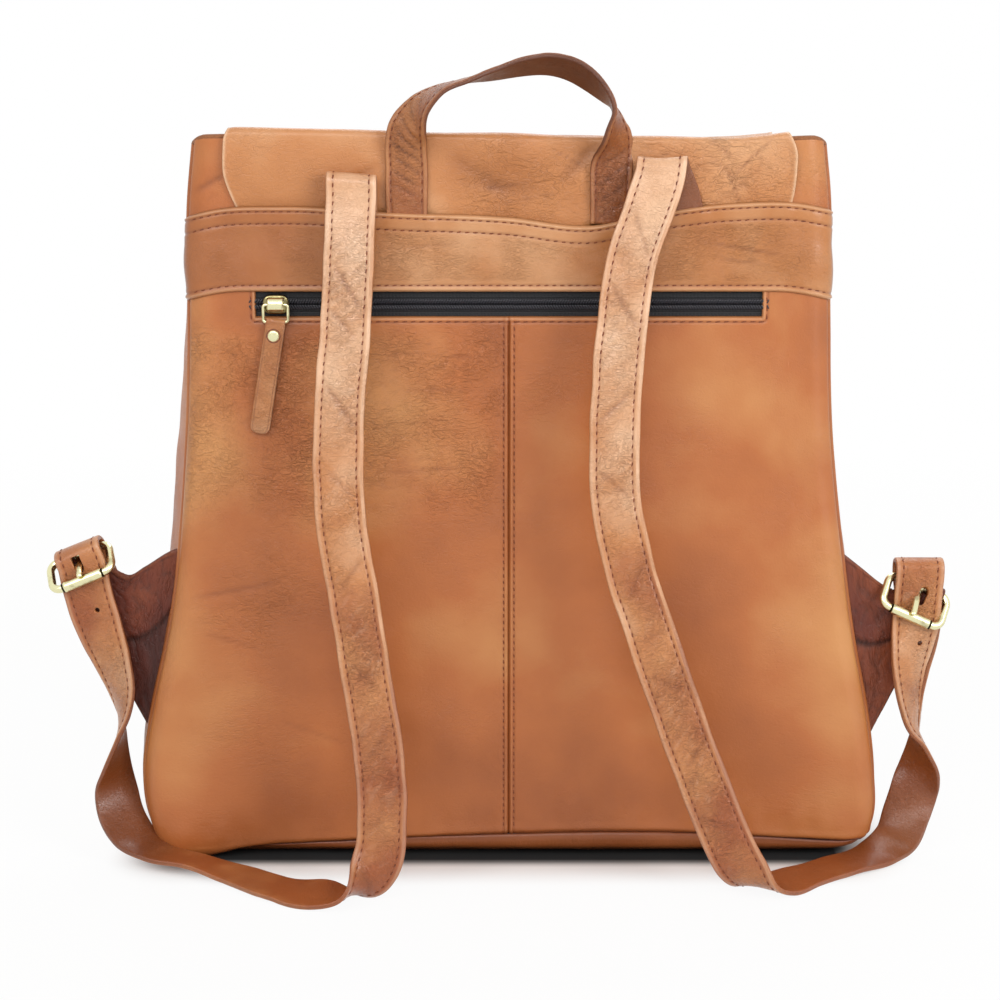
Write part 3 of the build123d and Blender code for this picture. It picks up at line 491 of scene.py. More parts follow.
def brassMaterial(name, bright="#CFC79C", patina="#6B5F3C", rough=0.2):
    # zinc alloy plated antique brass, rubbed bright: pale yellow metal, faintly clouded, with fine scratches
    material, tree, shader = newMaterial(name)
    place = addNode(tree, "TexCoord"), "Object"
    cloud = addNode(tree, "TexNoise", {"Vector": place, "Scale": per(7.0), "Detail": 2.0})
    scratch = addNode(tree, "TexNoise", {"Vector": place, "Scale": per(0.6), "Detail": 2.0})
    colour = addNode(tree, "ValToRGB", {"Fac": cloud}, [(0.3, hexColour(patina)), (0.46, hexColour(bright))])
    gloss = addNode(tree, "MapRange", {"Value": cloud, "From Min": 0.3, "From Max": 0.6, "To Min": rough + 0.12,
                                       "To Max": rough})
    bumped = addNode(tree, "Bump", {"Height": scratch, "Strength": 0.06, "Distance": 0.05 * mm})
    connect(tree, shader, {"Base Color": colour, "Roughness": gloss, "Normal": bumped, "Metallic": 1.0})
    return material


def plasticMaterial(name, code, rough):
    # drawn nylon: near black with a slight sheen
    material, tree, shader = newMaterial(name)
    place = addNode(tree, "TexCoord"), "Object"
    streak = addNode(tree, "TexNoise", {"Vector": place, "Scale": per(0.5), "Detail": 2.0})
    stops = [(0.3, hexColour(code, 0.75)), (0.7, hexColour(code, 1.3))]
    colour = addNode(tree, "ValToRGB", {"Fac": streak}, stops)
    bumped = addNode(tree, "Bump", {"Height": streak, "Strength": 0.2, "Distance": 0.05 * mm})
    connect(tree, shader, {"Base Color": colour, "Normal": bumped, "Roughness": rough})
    return material


bodyLeather, strapLeather, flapLeather, bandLeather, handleLeather, darkLeather = [
    leatherMaterial("leatherCowhide" + label, dict(zip(leatherKeys, row)))
    for label, row in leatherRows.items()]
flesh = suedeMaterial("leatherFleshSide", "#8A5735")
rawEdge = suedeMaterial("leatherRawEdge", "#D9B89A")
darkEdge = suedeMaterial("leatherDyedEdge", "#6B3A2E")
cottonLining = wovenMaterial("cottonTwillLining", "#3B2A20", 0.9)
tapeWeave = wovenMaterial("polyesterZipTape", "#08090E", 0.9, rough=0.65, slope=0.8)
coilNylon = plasticMaterial("nylonZipCoil", "#26242B", rough=0.25)
hemLeather = suedeMaterial("leatherTurnedHem", "#925C37")
threadBrown = wovenMaterial("polyesterThread", "#7A3C1E", 0.5, rough=0.7, slope=0.3)
brass = brassMaterial("antiqueBrassPlate", bright="#EAE5B8", patina="#B8AF86")
# a darker copy of the brass: painted shade on the slider's plate and flanges
shadedBrass = brassMaterial("antiqueBrassPaintedShade", bright="#9C9166", patina="#3E3620")
# a near-black brass for painted shadow in the gaps at the roller's ends
shadowBrass = brassMaterial("antiqueBrassPaintedShadow", bright="#2A2416", patina="#14100A", rough=0.5)
snapSteel = brassMaterial("nickelPlatedSnap", bright="#C9CACB", patina="#8B8C8E")
greyBoard = suedeMaterial("pressedBaseBoard", "#6E6860")
print("materials made")


# the bag's outline keeps the solids' levels: height, half width, left and right bulge, inset
bag = {
    "height": 373.0, "rear": -58.0, "frontLow": 57.0, "frontHigh": 33.0,
    "rearCorner": 12.0, "frontCorner": 24.0,
    "rearSeam": 0.74, "frontSeam": 0.4646,  # how far round each corner its seam lies
    "leather": 1.6, "seamSink": 1.3, "seamWide": 1.3,
    "levels": [(0, 172, 0.5, 0.5, 12), (4, 183, 1, 1, 3.4), (9, 189, 1.5, 1.5, 0.8),
               (16, 191.5, 2.5, 2, 0), (44, 192, 4, 3, 0), (80, 187, 5, 3, 0),
               (114, 180, 6, 3, 0), (165, 172, 7.5, 3, 0), (225, 165, 7.5, 2.5, 0),
               (290, 162, 3.5, 2, 0), (340, 161, 1.5, 1.5, 0), (373, 157.5, 0.5, 0.5, 0)],
    "baseSeam": [(-210, 2.8), (-172, 2.8), (-109, 6.4), (-15, 11.6), (75, 13.3), (179, 7.7), (210, 7.0)],
    # how far the soft rim sinks along the rear, and how much further along the front
    "rimSag": [(-160, 0.6), (-141, 0.2), (-100, 0.3), (-57, 0.95), (-35, 1.75), (10, 2.65), (45, 3.25),
               (95, 4.05), (118, 3.45), (141, 1.2), (160, 0.8)],
    "frontSag": 7.0, "cornerSag": 4.2, "leftTuck": 4.0,
}
levelTable = np.array(bag["levels"])
rearLimit, frontLimit = 1 + bag["rearSeam"], 3 + bag["frontSeam"]
sewn = {"body": "root", "slot": "body_leather"}


def seamHeight(x):
    # height of the base seam under each x
    return lineThrough(bag["baseSeam"], x)


def halfWidth(turn, height):
    # half width with both bulges and the inset; the lower left corner is drawn in
    shape = np.moveaxis(curveThrough(levelTable[:, 0], levelTable[:, 1:], height), -1, 0)
    half, bulgeLeft, bulgeRight, inset = shape
    tuck = bag["leftTuck"] * (1 - step(height, 6, 48)) + 2.2 * bump(height, 140, 55)
    half = half - tuck * (turn < 0)
    return half, bulgeLeft, bulgeRight, np.maximum(inset, 0)


def bagOutline(turn, height):
    # turn goes round the bag: 0 rear middle, 1 rear end, 2 side, 3 front corner, 4 front, 5 front middle
    half, bulgeLeft, bulgeRight, inset = halfWidth(turn, height)
    side, t = np.sign(turn), np.abs(turn)
    bulge = np.where(turn > 0, bulgeRight, bulgeLeft)
    rear = bag["rear"] + inset
    front = bag["frontLow"] + (bag["frontHigh"] - bag["frontLow"]) * height / bag["height"] - inset
    radius = bag["rearCorner"] + inset / 2
    q = np.clip(t - 1, 0, 1) * np.pi / 2
    x = np.where(t < 1, t * (half - radius), half - radius + radius * np.sin(q))
    y = rear + radius * (1 - np.cos(q))
    r = np.clip(t - 2, 0, 1)
    rearEnd, frontEnd = rear + radius, front - bag["frontCorner"]
    x = np.where(t > 2, half + bulge * 4 * r * (1 - r), x)
    y = np.where(t > 2, rearEnd + (frontEnd - rearEnd) * r, y)
    p = np.clip(t - 3, 0, 1) * np.pi / 2
    x = np.where(t > 3, half - bag["frontCorner"] * (1 - np.cos(p)), x)
    y = np.where(t > 3, frontEnd + bag["frontCorner"] * np.sin(p), y)
    f = np.clip(t - 4, 0, 1)
    x = np.where(t > 4, (half - bag["frontCorner"]) * (1 - f), x)
    return np.stack([side * x, y, height + 0 * x], -1)


def rimHeight(turn):
    # the rim sinks at the corners and a little in the middle, more at the front
    t = np.abs(turn)
    x = bagOutline(turn, np.full(np.shape(turn), bag["height"]))[..., 0]
    front = step(t, 2.2, 3.6)
    corner = bag["cornerSag"] * step(t, 1.25, 2.15) * (1 - step(t, 3.5, 4.1))
    return bag["height"] - lineThrough(bag["rimSag"], x) - bag["frontSag"] * front - corner


def turnAt(x, height):
    # the turn at which the rear face has this x
    half = halfWidth(np.sign(x), height)[0]
    flat = half - bag["rearCorner"]
    beyond = np.arcsin(np.clip((np.abs(x) - flat) / bag["rearCorner"], 0, 1)) / (np.pi / 2)
    return np.sign(x) * np.where(np.abs(x) < flat, np.abs(x) / flat, 1 + beyond)


def seamDip(away):
    # a panel's edge turns in over a short rounded shoulder, with a slight puff beside it
    return -bag["seamSink"] * np.exp(-(away / bag["seamWide"]) ** 2) + 0.35 * bump(away, 3.2, 2.2)


def onRear(x, z, lift):
    # places lift above the rear face, with the normals there
    base = bagOutline(turnAt(x, z), z)
    across = bagOutline(turnAt(x + 0.5, z), z) - bagOutline(turnAt(x - 0.5, z), z)
    upright = bagOutline(turnAt(x, z + 0.5), z + 0.5) - bagOutline(turnAt(x, z - 0.5), z - 0.5)
    normal = unit(np.cross(across, upright))
    return base + normal * np.asarray(lift)[..., None], normal


zipLine = {"half": 126.5, "low": 283.9, "lip": 2.4, "middle": 290.2}
rearLook = {"seamStitch": 2.6, "seamPitch": 3.5, "belly": 1.6, "top": 302.5, "grid": 1.7, "low": 4.2,
            "droop": 6.0, "paintedSheen": [(-178, 150, -140, 250, 13, 0.3)],
            "diagonal": [(-178, 150, -140, 250, 13, 1.7), (-158, 120, -118, 230, 15, -1.1)],
            "long": [(-70, 266, -8, 263, 0.7, 0.22), (-62, 248, -6, 246, 0.8, 0.22),
                     (-72, 204, -18, 208, 1.0, 0.2), (-165, 139, -112, 149, 1.2, 0.3),
                     (-160, 122, -125, 112, 1.2, 0.2), (-122, 76, -80, 60, 1.1, 0.15),
                     (-78, 228, -30, 232, 0.9, 0.18)]}


def rearRelief(x, z):
    # depth along the outward normal, and shade fields, of the lower rear panels
    off, seam, lipLine = np.abs(x), rearLook["seamStitch"], zipLine["lip"] + 0.4
    seamFade = 1 - step(z, 279, 286)
    centre = -0.9 * bump(x, 0, 0.8) + 0.3 * bump(off, 1.5, 0.9) - 0.4 * bump(off, seam, 0.7)
    gap = np.hypot(np.maximum(off - zipLine["half"], 0), np.maximum(zipLine["low"] - z, 0))
    lip = -1.3 * np.exp(-(gap / 0.55) ** 2) + 0.35 * bump(gap, 1.2, 0.8) - 0.4 * bump(gap, lipLine, 0.6)
    upright = np.sin(np.pi * np.clip((z - 8) / 225, 0, 1))
    belly = rearLook["belly"] * upright * np.clip(1 - (x / 185) ** 4, 0, 1)
    soft = 0.7 * waves(x, z, 90, 11) * step(z, 10, 60) * (1 - step(z, 210, 250))
    inner = step(-x, -2, 12) * step(-x, -90, -70) * step(z, 165, 205) * (1 - step(z, 268, 284))
    underStrap = bump(x, -100, 14) * step(z, 170, 210) * (1 - step(z, 262, 280))
    lowLeft = bump(x, -120, 40) * bump(z, 140, 26) + 0.5 * bump(x, -130, 45) * bump(z, 75, 30)
    crush = (0.14 + 0.75 * inner + 0.5 * underStrap + 0.45 * lowLeft
             + 0.22 * bump(x, 25, 22) * step(z, 180, 240) + 0.1 * waves(x, z, 60, 15))
    long = foldLines(x, z, rearLook["long"])
    net = creases(x, z * 2.4, 13, 21, sharp=12) * np.clip(0.8 * inner + 0.3 * lowLeft, 0, 1)
    pucker = waves(x, z * 0.3, 13, 23) * bump(z, seamHeight(x) + 9, 9) * 0.5
    stitchPucker = 0.14 * waves(x, z, 5, 24) * bump(off, seam, 5) * seamFade
    # the lower left corner leans out towards the wearer's back
    droop = rearLook["droop"] * bump(x, -168, 26) * (1 - step(z, 6, 70))
    depth = (droop + centre * seamFade + lip * (z < 300) + belly + soft - long - 0.16 * net + pucker
             + stitchPucker + foldLines(x, z, rearLook["diagonal"]))
    depth += seamDip(z - seamHeight(x)) * (z < 40)
    beside = -0.9 * bump(x, 0, 0.6) + 0.2 * bump(off, 1.4, 0.6) - 0.35 * bump(off, seam, 0.6)
    # relief paints shade in the folds, the crease net, the seam and the groove under the zip lip, and a
    # highlight on the lip
    relief = (-0.3 * net - 1.6 * long + beside * seamFade - 0.5 * bump(gap, lipLine, 0.5)
              + 0.6 * bump(gap, 1.0, 0.9) * (z < 300))
    # tone paints light and shade: lighter towards both sides, more on the right, and along a diagonal fold
    # (paintedSheen), darker low down and in a strip beside the left strap, lighter in the wrinkled patch; the
    # waves are uneven dye
    tone = (0.5 * step(-x, 120, 175) + 0.75 * step(x, 110, 175)
            - 0.5 * bump(z, 35, 40) * (1 - step(off, 115, 175)) + 0.25 * waves(x, z, 110, 31)
            + 0.55 * inner + foldLines(x, z, rearLook["paintedSheen"])
            - 0.25 * bump(x, -108, 14) * step(z, 150, 200))
    edge = 0.8 * np.exp(-(np.maximum(z - seamHeight(x), 0) / 1.6) ** 2)
    return depth, {"relief": relief, "tone": tone, "edge": edge, "crush": crush}


def rearPanel(name, side):
    # rows from the base seam up, over columns from the middle seam out and round to the gusset seam
    top, low, grid, half = rearLook["top"], rearLook["low"], rearLook["grid"], zipLine["half"]
    flat = clustered(0, 178, grid, lines=(0, rearLook["seamStitch"], half, half + 3))
    share = clustered(0, 1, grid / top, lines=(0, (zipLine["low"] - 6) / top), fine=0.0016, reach=0.012)
    wrap = np.linspace(0, 1, 11)[1:]
    x, z = np.meshgrid(flat, low + (top - low) * share)
    rows = len(z)
    run = halfWidth(side + 0 * z, z)[0] - bag["rearCorner"]
    kept = half + 5
    x = np.where(x > kept, kept + (x - kept) * (run - kept) / (flat[-1] - kept), x)
    turns = np.hstack([x / run, np.repeat(1 + (rearLimit - 1) * wrap[None, :], rows, 0)])
    z = np.hstack([z, np.repeat(z[:, :1], len(wrap), 1)])
    seam = seamHeight(side * np.hstack([x, np.full((rows, len(wrap)), 180.0)]))
    z = z + (seam - low) * (1 - step(z, low, 150))
    if side < 0:
        turns, z = -turns[:, ::-1], z[:, ::-1]
    points = bagOutline(turns, z)
    normal = normalsOf(points)
    depth, fields = rearRelief(points[..., 0], z)
    away = (rearLimit - np.abs(turns)) * np.pi / 2 * bag["rearCorner"]
    depth = depth * step(away, 0, 9) + seamDip(away)
    fields["edge"] = fields["edge"] + 0.75 * bump(away, 0, 0.8)
    shaped = points + normal * depth[..., None]
    middle = (shaped[:-1, :-1] + shaped[1:, 1:]) / 2
    keep = ~((np.abs(middle[..., 0]) < half) & (middle[..., 2] > zipLine["low"]))
    gridObject(name, shaped, bodyLeather, keep=keep, thickness=bag["leather"], lining=flesh, rim=rawEdge,
               fields=fields, replaces=("back_panel_" + ("left" if side < 0 else "right"),), **sewn)


def rearPath(x, z):
    # a line drawn on the rear face, with the normals there
    return onRear(x, z, rearRelief(x, z)[0])


rearPanel("backPanelLeft", -1)
rearPanel("backPanelRight", 1)
height = np.linspace(16, 280, 300)
centreRows = [rearPath(np.full(300, sign * rearLook["seamStitch"]), height) for sign in (-1, 1)]
stitchRows("centreSeamStitches", centreRows, threadBrown, pitch=rearLook["seamPitch"], seed=4, **sewn)
lipX, lipZ = zipLine["half"] + zipLine["lip"], zipLine["low"] - zipLine["lip"]
openingRows = [rearPath(np.linspace(-lipX, lipX, 500), np.full(500, lipZ))]
openingRows += [rearPath(np.full(40, side * lipX), np.linspace(lipZ, 295, 40)) for side in (-1, 1)]
stitchRows("zipOpeningStitches", openingRows, threadBrown, seed=3, **sewn)
print("rear panels made")


def seamUnder(turn):
    # height of the base seam under each turn
    return seamHeight(bagOutline(turn, np.full(turn.shape, 8.0))[..., 0])


def halfTurns(*counts):
    # places round half the bag, a number of them in each stretch of one turn
    stretches = [np.linspace(start, start + 1, count)[:-1] for start, count in enumerate(counts)]
    return np.concatenate(stretches + [[float(len(counts))]])


def wallPiece(name, turns, node, seed, bottom=None, soft=(0.7, 0.3)):
    # part of the bag's wall between two turns, from the base seam to the rim, softened by slow waves
    low = bottom is None
    share = clustered(0, 1, 0.008, lines=(0, 1), fine=0.003, reach=0.02)
    if not low:
        share = clustered(0, 1, 0.03, lines=(1,), fine=0.012, reach=0.05)
    turn, level = np.meshgrid(turns, share)
    seam = seamUnder(turn) if low else bottom + 0 * turn
    z = seam + (rimHeight(turn) - seam) * level
    points = bagOutline(turn, np.minimum(z, bag["height"]))
    normal = normalsOf(points)
    stretch = np.linalg.norm(np.diff(points, axis=1), axis=2)
    run = np.concatenate([np.zeros((len(z), 1)), np.cumsum(stretch, 1)], 1)
    away = np.minimum(run, run[:, -1:] - run)
    calm = step(away, 0, 12) * (1 - step(z, 340, 366))
    slow = soft[0] * waves(run, z, 90, seed) + soft[1] * waves(run, z, 30, seed + 1)
    slow = slow * calm * step(z, 5, 40)
    net = creases(run, z, 16, seed + 2, sharp=9) * np.clip(0.3 + 0.5 * waves(run, z, 50, seed + 3), 0, 1)
    depth = slow - 0.2 * net * calm + seamDip(away)
    if low:
        depth += seamDip(z - seam) * (z < 40)
    rimCrease = foldLines(points[..., 0], z, [(-158, 345, -138, 356, 1.4, 0.5)]) * (points[..., 1] < -40)
    # relief paints shade in the crease net and along the rim crease
    fields = {"relief": -0.5 * net * calm - 1.2 * rimCrease,
              "tone": 0.4 * waves(run, z, 90, seed + 4) + (0.0 if low else 0.3),
              "edge": 0.7 * bump(z - seam, 0, 1.6) * low + 0.6 * bump(away, 0, 1.0),
              "crush": 0.25 + 0.25 * waves(run, z, 60, seed + 5)}
    gridObject(name, points + normal * (depth - rimCrease)[..., None], bodyLeather, thickness=bag["leather"],
               lining=flesh, rim=darkEdge, replaces=(node,), fields=fields, **sewn)


wallPiece("gussetRight", np.linspace(rearLimit, frontLimit, 90), "gusset_right", 40)
wallPiece("gussetLeft", np.linspace(-frontLimit, -rearLimit, 90), "gusset_left", 60)
frontTurns = np.concatenate([np.linspace(frontLimit, 4, 14), np.linspace(4, 5, 70)[1:]])
frontTurns = np.concatenate([frontTurns, -frontTurns[:-1][::-1]])
wallPiece("frontPanel", frontTurns, "front_panel", 80, soft=(0.3, 0.1))
upperTurns = np.concatenate([np.linspace(0, 1, 90), np.linspace(1, rearLimit, 12)[1:]])
upperTurns = np.concatenate([-upperTurns[1:][::-1], upperTurns])
wallPiece("backUpperPanel", upperTurns, "back_upper_panel", 95, bottom=rearLook["top"], soft=(0.25, 0.1))


def basePanel():
    # from the base seam down round the rounded edge and in to the middle of the underside
    turns = halfTurns(70, 12, 24, 16, 50)
    turns = np.concatenate([turns, -turns[1:-1][::-1]])
    turn, share = np.meshgrid(turns, np.linspace(0, 1, 14))
    seam = seamUnder(turn)
    wall = bagOutline(turn, seam * (1 - share) ** 1.6)
    inner = [wall[-1:] * [s, s, 1] for s in (0.97, 0.9, 0.75, 0.5, 0.25, 0.0)]
    points = np.concatenate([wall] + inner)[::-1]
    normal = normalsOf(points, closed=True)
    x, y, z = np.moveaxis(points, -1, 0)
    rise = np.concatenate([seam * share, np.full((len(inner), len(turns)), 20.0)])[::-1]
    depth = np.where(z > 0.5, 0.2 * waves(x, y, 18, 101), 0) - 0.9 * bump(rise, 0, 1.2)
    # painted shade: the base is darker all over through tone, relief and edge, darker still along the seam
    fields = {"relief": -0.3, "tone": -0.7, "edge": 0.3 + 0.5 * bump(rise, 0, 1.0), "crush": 0.2}
    gridObject("basePanel", points + np.nan_to_num(normal) * depth[..., None], bodyLeather, closed=True,
               weld=True, uv=points[..., :2], planar=True, thickness=bag["leather"], lining=flesh,
               rim=darkEdge, replaces=("base_panel",), fields=fields, **sewn)


basePanel()


def around(inset, z, extra=0.0):
    # the bag's outline at this height, moved inwards, further in behind the rear
    half = halfTurns(40, 10, 20, 12, 36)
    turn = np.concatenate([half, -half[1:-1][::-1]])[None, :]
    height = rimHeight(turn) + z - bag["height"] if z > 300 else z + 0 * turn
    points = bagOutline(turn, np.clip(height, 0, bag["height"]))
    normal = normalsOf(np.concatenate([points, points + [0, 0, 1.0]])[:2], closed=True)[0]
    depth = inset + extra * (1 - step(np.abs(turn), 1.0, 1.6))
    points = points - normal * depth[..., None]
    points[..., 2] = height
    return points


rimLook = {"inset": 1.5, "wide": 1.9, "tall": 1.35, "sides": 12, "facing": 28.0, "facingInset": 1.8,
           "lining": 2.9, "floor": 4.2, "pocket": 2.7, "facingThick": 1.3, "clothThick": 0.7}


def rimPieces():
    # the hem is an oval bead on top of wall and facing; facing and lining follow the wall inside
    high, facing, inset = bag["height"], rimLook["facing"], rimLook["lining"]
    path = around(rimLook["inset"], high)[0]
    tube("rimHem", path + [0, 0, 0.1], rimLook["wide"], hemLeather, (0, 0, 1), sides=rimLook["sides"],
         ring=True, squash=rimLook["tall"] / rimLook["wide"], **sewn)
    strip = np.concatenate([around(rimLook["facingInset"], z) for z in high - np.linspace(facing, 0.2, 12)])
    gridObject("rimFacing", strip, bodyLeather, closed=True, thickness=rimLook["facingThick"],
               rim=rawEdge, replaces=("rim_facing",),
               fields={"tone": -0.5, "crush": 0.3, "relief": 0.0, "edge": 0.15}, **sewn)
    wall = [around(inset, z, rimLook["pocket"])
            for z in (rimLook["floor"], 6.0, 9.0, 14.0, *np.linspace(24, 297, 60))]
    top = [around(inset + 0.2, z, rimLook["pocket"])
           for z in high - np.linspace(facing + 40, facing - 4, 14)]
    floor = [wall[0] * [s, s, 1] for s in (0.0, 0.25, 0.5, 0.75, 0.9, 0.97)]
    points = np.concatenate(floor + wall + top)
    points[..., 0] *= 1 - 0.012 * bump(points[..., 2], 0, 14)
    normal = np.nan_to_num(normalsOf(points, closed=True))
    x, y, z = np.moveaxis(points, -1, 0)
    run = np.arctan2(y, x) * 120
    loose = (-0.9 + 0.9 * waves(run, z, 45, 301, 0.6) - 0.7 * creases(run, z, 30, 302)) * step(z, 12, 60)
    points = points + normal * (loose * (1 - step(z, 325, 345)))[..., None]
    gridObject("liningBag", points, cottonLining, closed=True, weld=True, thickness=rimLook["clothThick"],
               body="root", replaces=("lining",), slot="lining_cotton")


rimPieces()
print("body made")


# yoke band: sewn over the ends of the flap, the handle and the straps
band = {"bottom": 296.5, "top": 336.5, "flat": 132.0, "drop": 11.0, "grow": 1.9, "rows": (2.6, 8.6, -3.2),
        "sag": [(-175, -9.0), (-150, 0.0), (-112, 2.4), (-60, -0.4), (0, -3.0), (40, -7.0), (70, -1.0),
                (112, 4.0), (145, 3.8), (175, -4.0)],
        "flapLift": 0.9, "endLift": 2.4, "ends": ((-77.5, 12.5), (-50.5, 10.5), (50.5, 10.5), (82.0, 13.5)),
        "half": 175.0, "thick": 1.4,
        "fine": [(-122, 314, -98, 311, 0.6, 0.1), (-60, 318, -20, 321, 0.7, 0.15),
                 (95, 322, 140, 314, 0.8, 0.3), (100, 314, 128, 310, 0.8, 0.25)]}


def bandEdges(x):
    # heights of the band's lower and upper edges: the lower one falls away past the flat part as an arc
    past = np.clip((np.abs(x) - band["flat"]) / (band["half"] - band["flat"]), 0, 1)
    return band["bottom"] - band["drop"] * past**2, band["top"] + lineThrough(band["sag"], x)


def bandDepth(x, z):
    # rolled edges, a groove under each row of stitches, and swellings over what is sewn in at the top
    low, high = bandEdges(x)
    above, below = z - low, high - z
    over = band["flapLift"] * (1 - step(np.abs(x), 137, 143))
    for centre, half in band["ends"]:
        over = over + band["endLift"] * (1 - step(np.abs(x - centre), half - 1.5, half + 5))
    over = np.minimum(over, band["flapLift"] + band["endLift"]) * (1 - step(below, 1.5, 15))
    roll = -1.5 * (np.exp(-(above / 0.7) ** 2) + np.exp(-(below / 0.7) ** 2))
    lip = 0.35 * (bump(above, 1.6, 1.2) + bump(below, 1.4, 1.1))
    first, second, third = band["rows"]
    rows = -0.4 * (bump(below, first, 0.7) + bump(below, second, 0.7) + bump(above, -third, 0.7))
    middle = step(above, 3, 7) * step(below, 8, 12)
    puff = 0.6 * np.sin(np.pi * np.clip((above - 4) / 24, 0, 1)) + 0.4 * waves(x, z, 34, 113) * middle
    fine = foldLines(x, z, band["fine"])
    bulgedEnd = 0.9 * bump(x, -162, 9) * bump(z, 312, 16)
    # relief paints shade in the stitch grooves and fine folds and a highlight on the rolled lips
    relief = 1.3 * rows + 0.55 * (bump(above, 1.2, 0.9) + bump(below, 1.0, 0.9)) - 2.0 * fine
    crush = 0.3 + 0.45 * bump(x, 118, 28) + 0.4 * bump(x, -40, 40) + 0.25 * bump(x, 60, 25)
    crush = (crush + 0.2 * waves(x, z, 40, 112)) * middle
    return band["grow"] + over + roll + lip + rows + puff + bulgedEnd - fine, relief, crush


def yokeBand():
    # columns out to the corner seams, rows between the two edges
    half = band["half"]
    share = clustered(0, 1, 0.03, lines=(0, 0.08, 0.79, 0.94, 1), fine=0.013, reach=0.03)
    x, level = np.meshgrid(np.linspace(-half, half, 280), share)
    low, high = bandEdges(x)
    reach = halfWidth(np.sign(x), low + (high - low) * level)[0]
    x = x / half * (reach - bag["rearCorner"] * (1 - np.sin(bag["rearSeam"] * np.pi / 2)))
    low, high = bandEdges(x)
    z = low + (high - low) * level
    depth, relief, crush = bandDepth(x, z)
    end = (1 - np.abs(np.linspace(-1, 1, x.shape[1])))[None, :] * half
    points = onRear(x, z, depth + 0.6 * seamDip(end))[0]
    # tone paints light in the middle and on the right and shade towards the left end; the waves are uneven dye
    tone = (0.3 * waves(x, z, 90, 114) + 1.1 * bump(x, -5, 48) - 0.9 * step(-x, 60, 130)
            + 0.35 * step(x, 90, 150))
    fields = {"relief": relief, "tone": tone, "edge": 0.4 * bump(end, 0, 1.2), "crush": crush}
    gridObject("yokeBand", points, bandLeather, thickness=band["thick"], lining=flesh, rim=darkEdge,
               replaces=("back_yoke_band",), fields=fields, **sewn)
    x = np.linspace(-157, 158, 700)
    low, high = bandEdges(x)
    heights = [(high if offset > 0 else low) - offset for offset in band["rows"]]
    stitchRows("bandStitches", [onRear(x, z, bandDepth(x, z)[0]) for z in heights], threadBrown, seed=5,
               pitch=4.0, length=2.5, **sewn)


yokeBand()
print("band made")


# flap: a raw-edged single ply from under the band, over the rim and down the front
flap = {"half": 140.0, "rise": 1.2, "leather": 2.0, "drop": 168.0, "corner": 46.0, "bend": 3.6, "low": 325.0,
        "dip": 2.6, "frontLower": 2.3, "tuck": 1.5,
        "ridge": [(-141, 1.1), (-100, 0.7), (-57, -0.4), (-35, -1.2), (10, -2.1), (45, -2.7), (95, -3.5),
                  (118, -2.9), (141, -0.6)],
        "left": [(325, 132.5), (336, 134.5), (342, 137), (354, 141), (366, 141), (372, 140.4),
                 (376.5, 138.4)],
        "right": [(325, 137.5), (336, 139), (342, 140.5), (357, 142), (366, 142), (372, 140), (376, 138)],
        "folds": [(92, 369, 128, 340, 1.1, 0.55), (126, 360, 104, 340, 1.0, 0.5),
                  (104, 374, 112, 356, 1.0, 0.4), (78, 352, 104, 362, 1.3, 0.35),
                  (-63, 360, -84, 349, 2.0, 0.5), (46, 372, 24, 350, 3.0, 0.9),
                  (-33, 366, 6, 341, 3.2, 0.7), (-30, 352, 22, 345, 2.2, 0.5), (66, 376, 70, 364, 1.0, 0.3)],
        "thin": [(118, 330, 106, 362, 0.55, 0.8), (108, 352, 132, 374, 0.55, 0.8),
                 (112, 362, 98, 372, 0.5, 0.6), (124, 366, 122, 348, 0.5, 0.6), (70, 366, 98, 358, 0.5, 0.5),
                 (-20, 346, 16, 352, 0.6, 0.5), (-6, 340, 28, 346, 0.5, 0.5), (20, 368, 40, 356, 0.5, 0.5)]}
flap["top"] = bag["height"] + flap["rise"] + flap["leather"]


def flapSpine(run):
    # up the rear, a quarter round, across the top, a quarter round and down the leaning front
    rear, bend = bag["rear"] - flap["leather"], flap["bend"]
    front = bag["frontHigh"] + flap["rise"] + flap["leather"]
    rise = flap["top"] - bend - flap["low"]
    arc = bend * np.pi / 2
    flat = front - rear - 2 * bend
    fall = (bag["frontHigh"] - bag["frontLow"]) / bag["height"]
    a = np.clip((run - rise) / arc, 0, 1) * np.pi / 2
    b = np.clip((run - rise - arc - flat) / arc, 0, 1) * np.pi / 2
    over = np.clip(run - rise - arc, 0, flat)
    down = np.maximum(run - rise - 2 * arc - flat, 0)
    z = flap["low"] + np.minimum(run, rise) + bend * np.sin(a) - bend * (1 - np.cos(b)) - down
    y = rear + bend * (1 - np.cos(a)) + over + bend * np.sin(b) - fall * down
    return y, z, rise, arc, flat


def flapShape(x, run):
    # the spine, tucked in under the band, with an uneven ridge, a dip across the top and a lower front fold
    y, z, rise, arc, flat = flapSpine(run)
    ridge, lower = lineThrough(flap["ridge"], x), flap["frontLower"]
    over = np.clip((run - rise - arc) / flat, 0, 1)
    down = np.maximum(run - rise - 2 * arc - flat, 0)
    climb = np.clip((z - flap["low"]) / (flap["top"] - flap["low"]), 0, 1) ** 2
    across = ridge - lower * over - flap["dip"] * np.sin(np.pi * over) ** 0.7
    change = np.where(over > 0, across, ridge * climb)
    change = np.where(down > 0, (ridge - lower) * (1 - step(down, 0, 70)), change)
    tuck = flap["tuck"] * (1 - step(z - bandEdges(x)[1], -2.0, 5.0)) * (over == 0)
    return np.stack([x, y + tuck, z + change], -1)


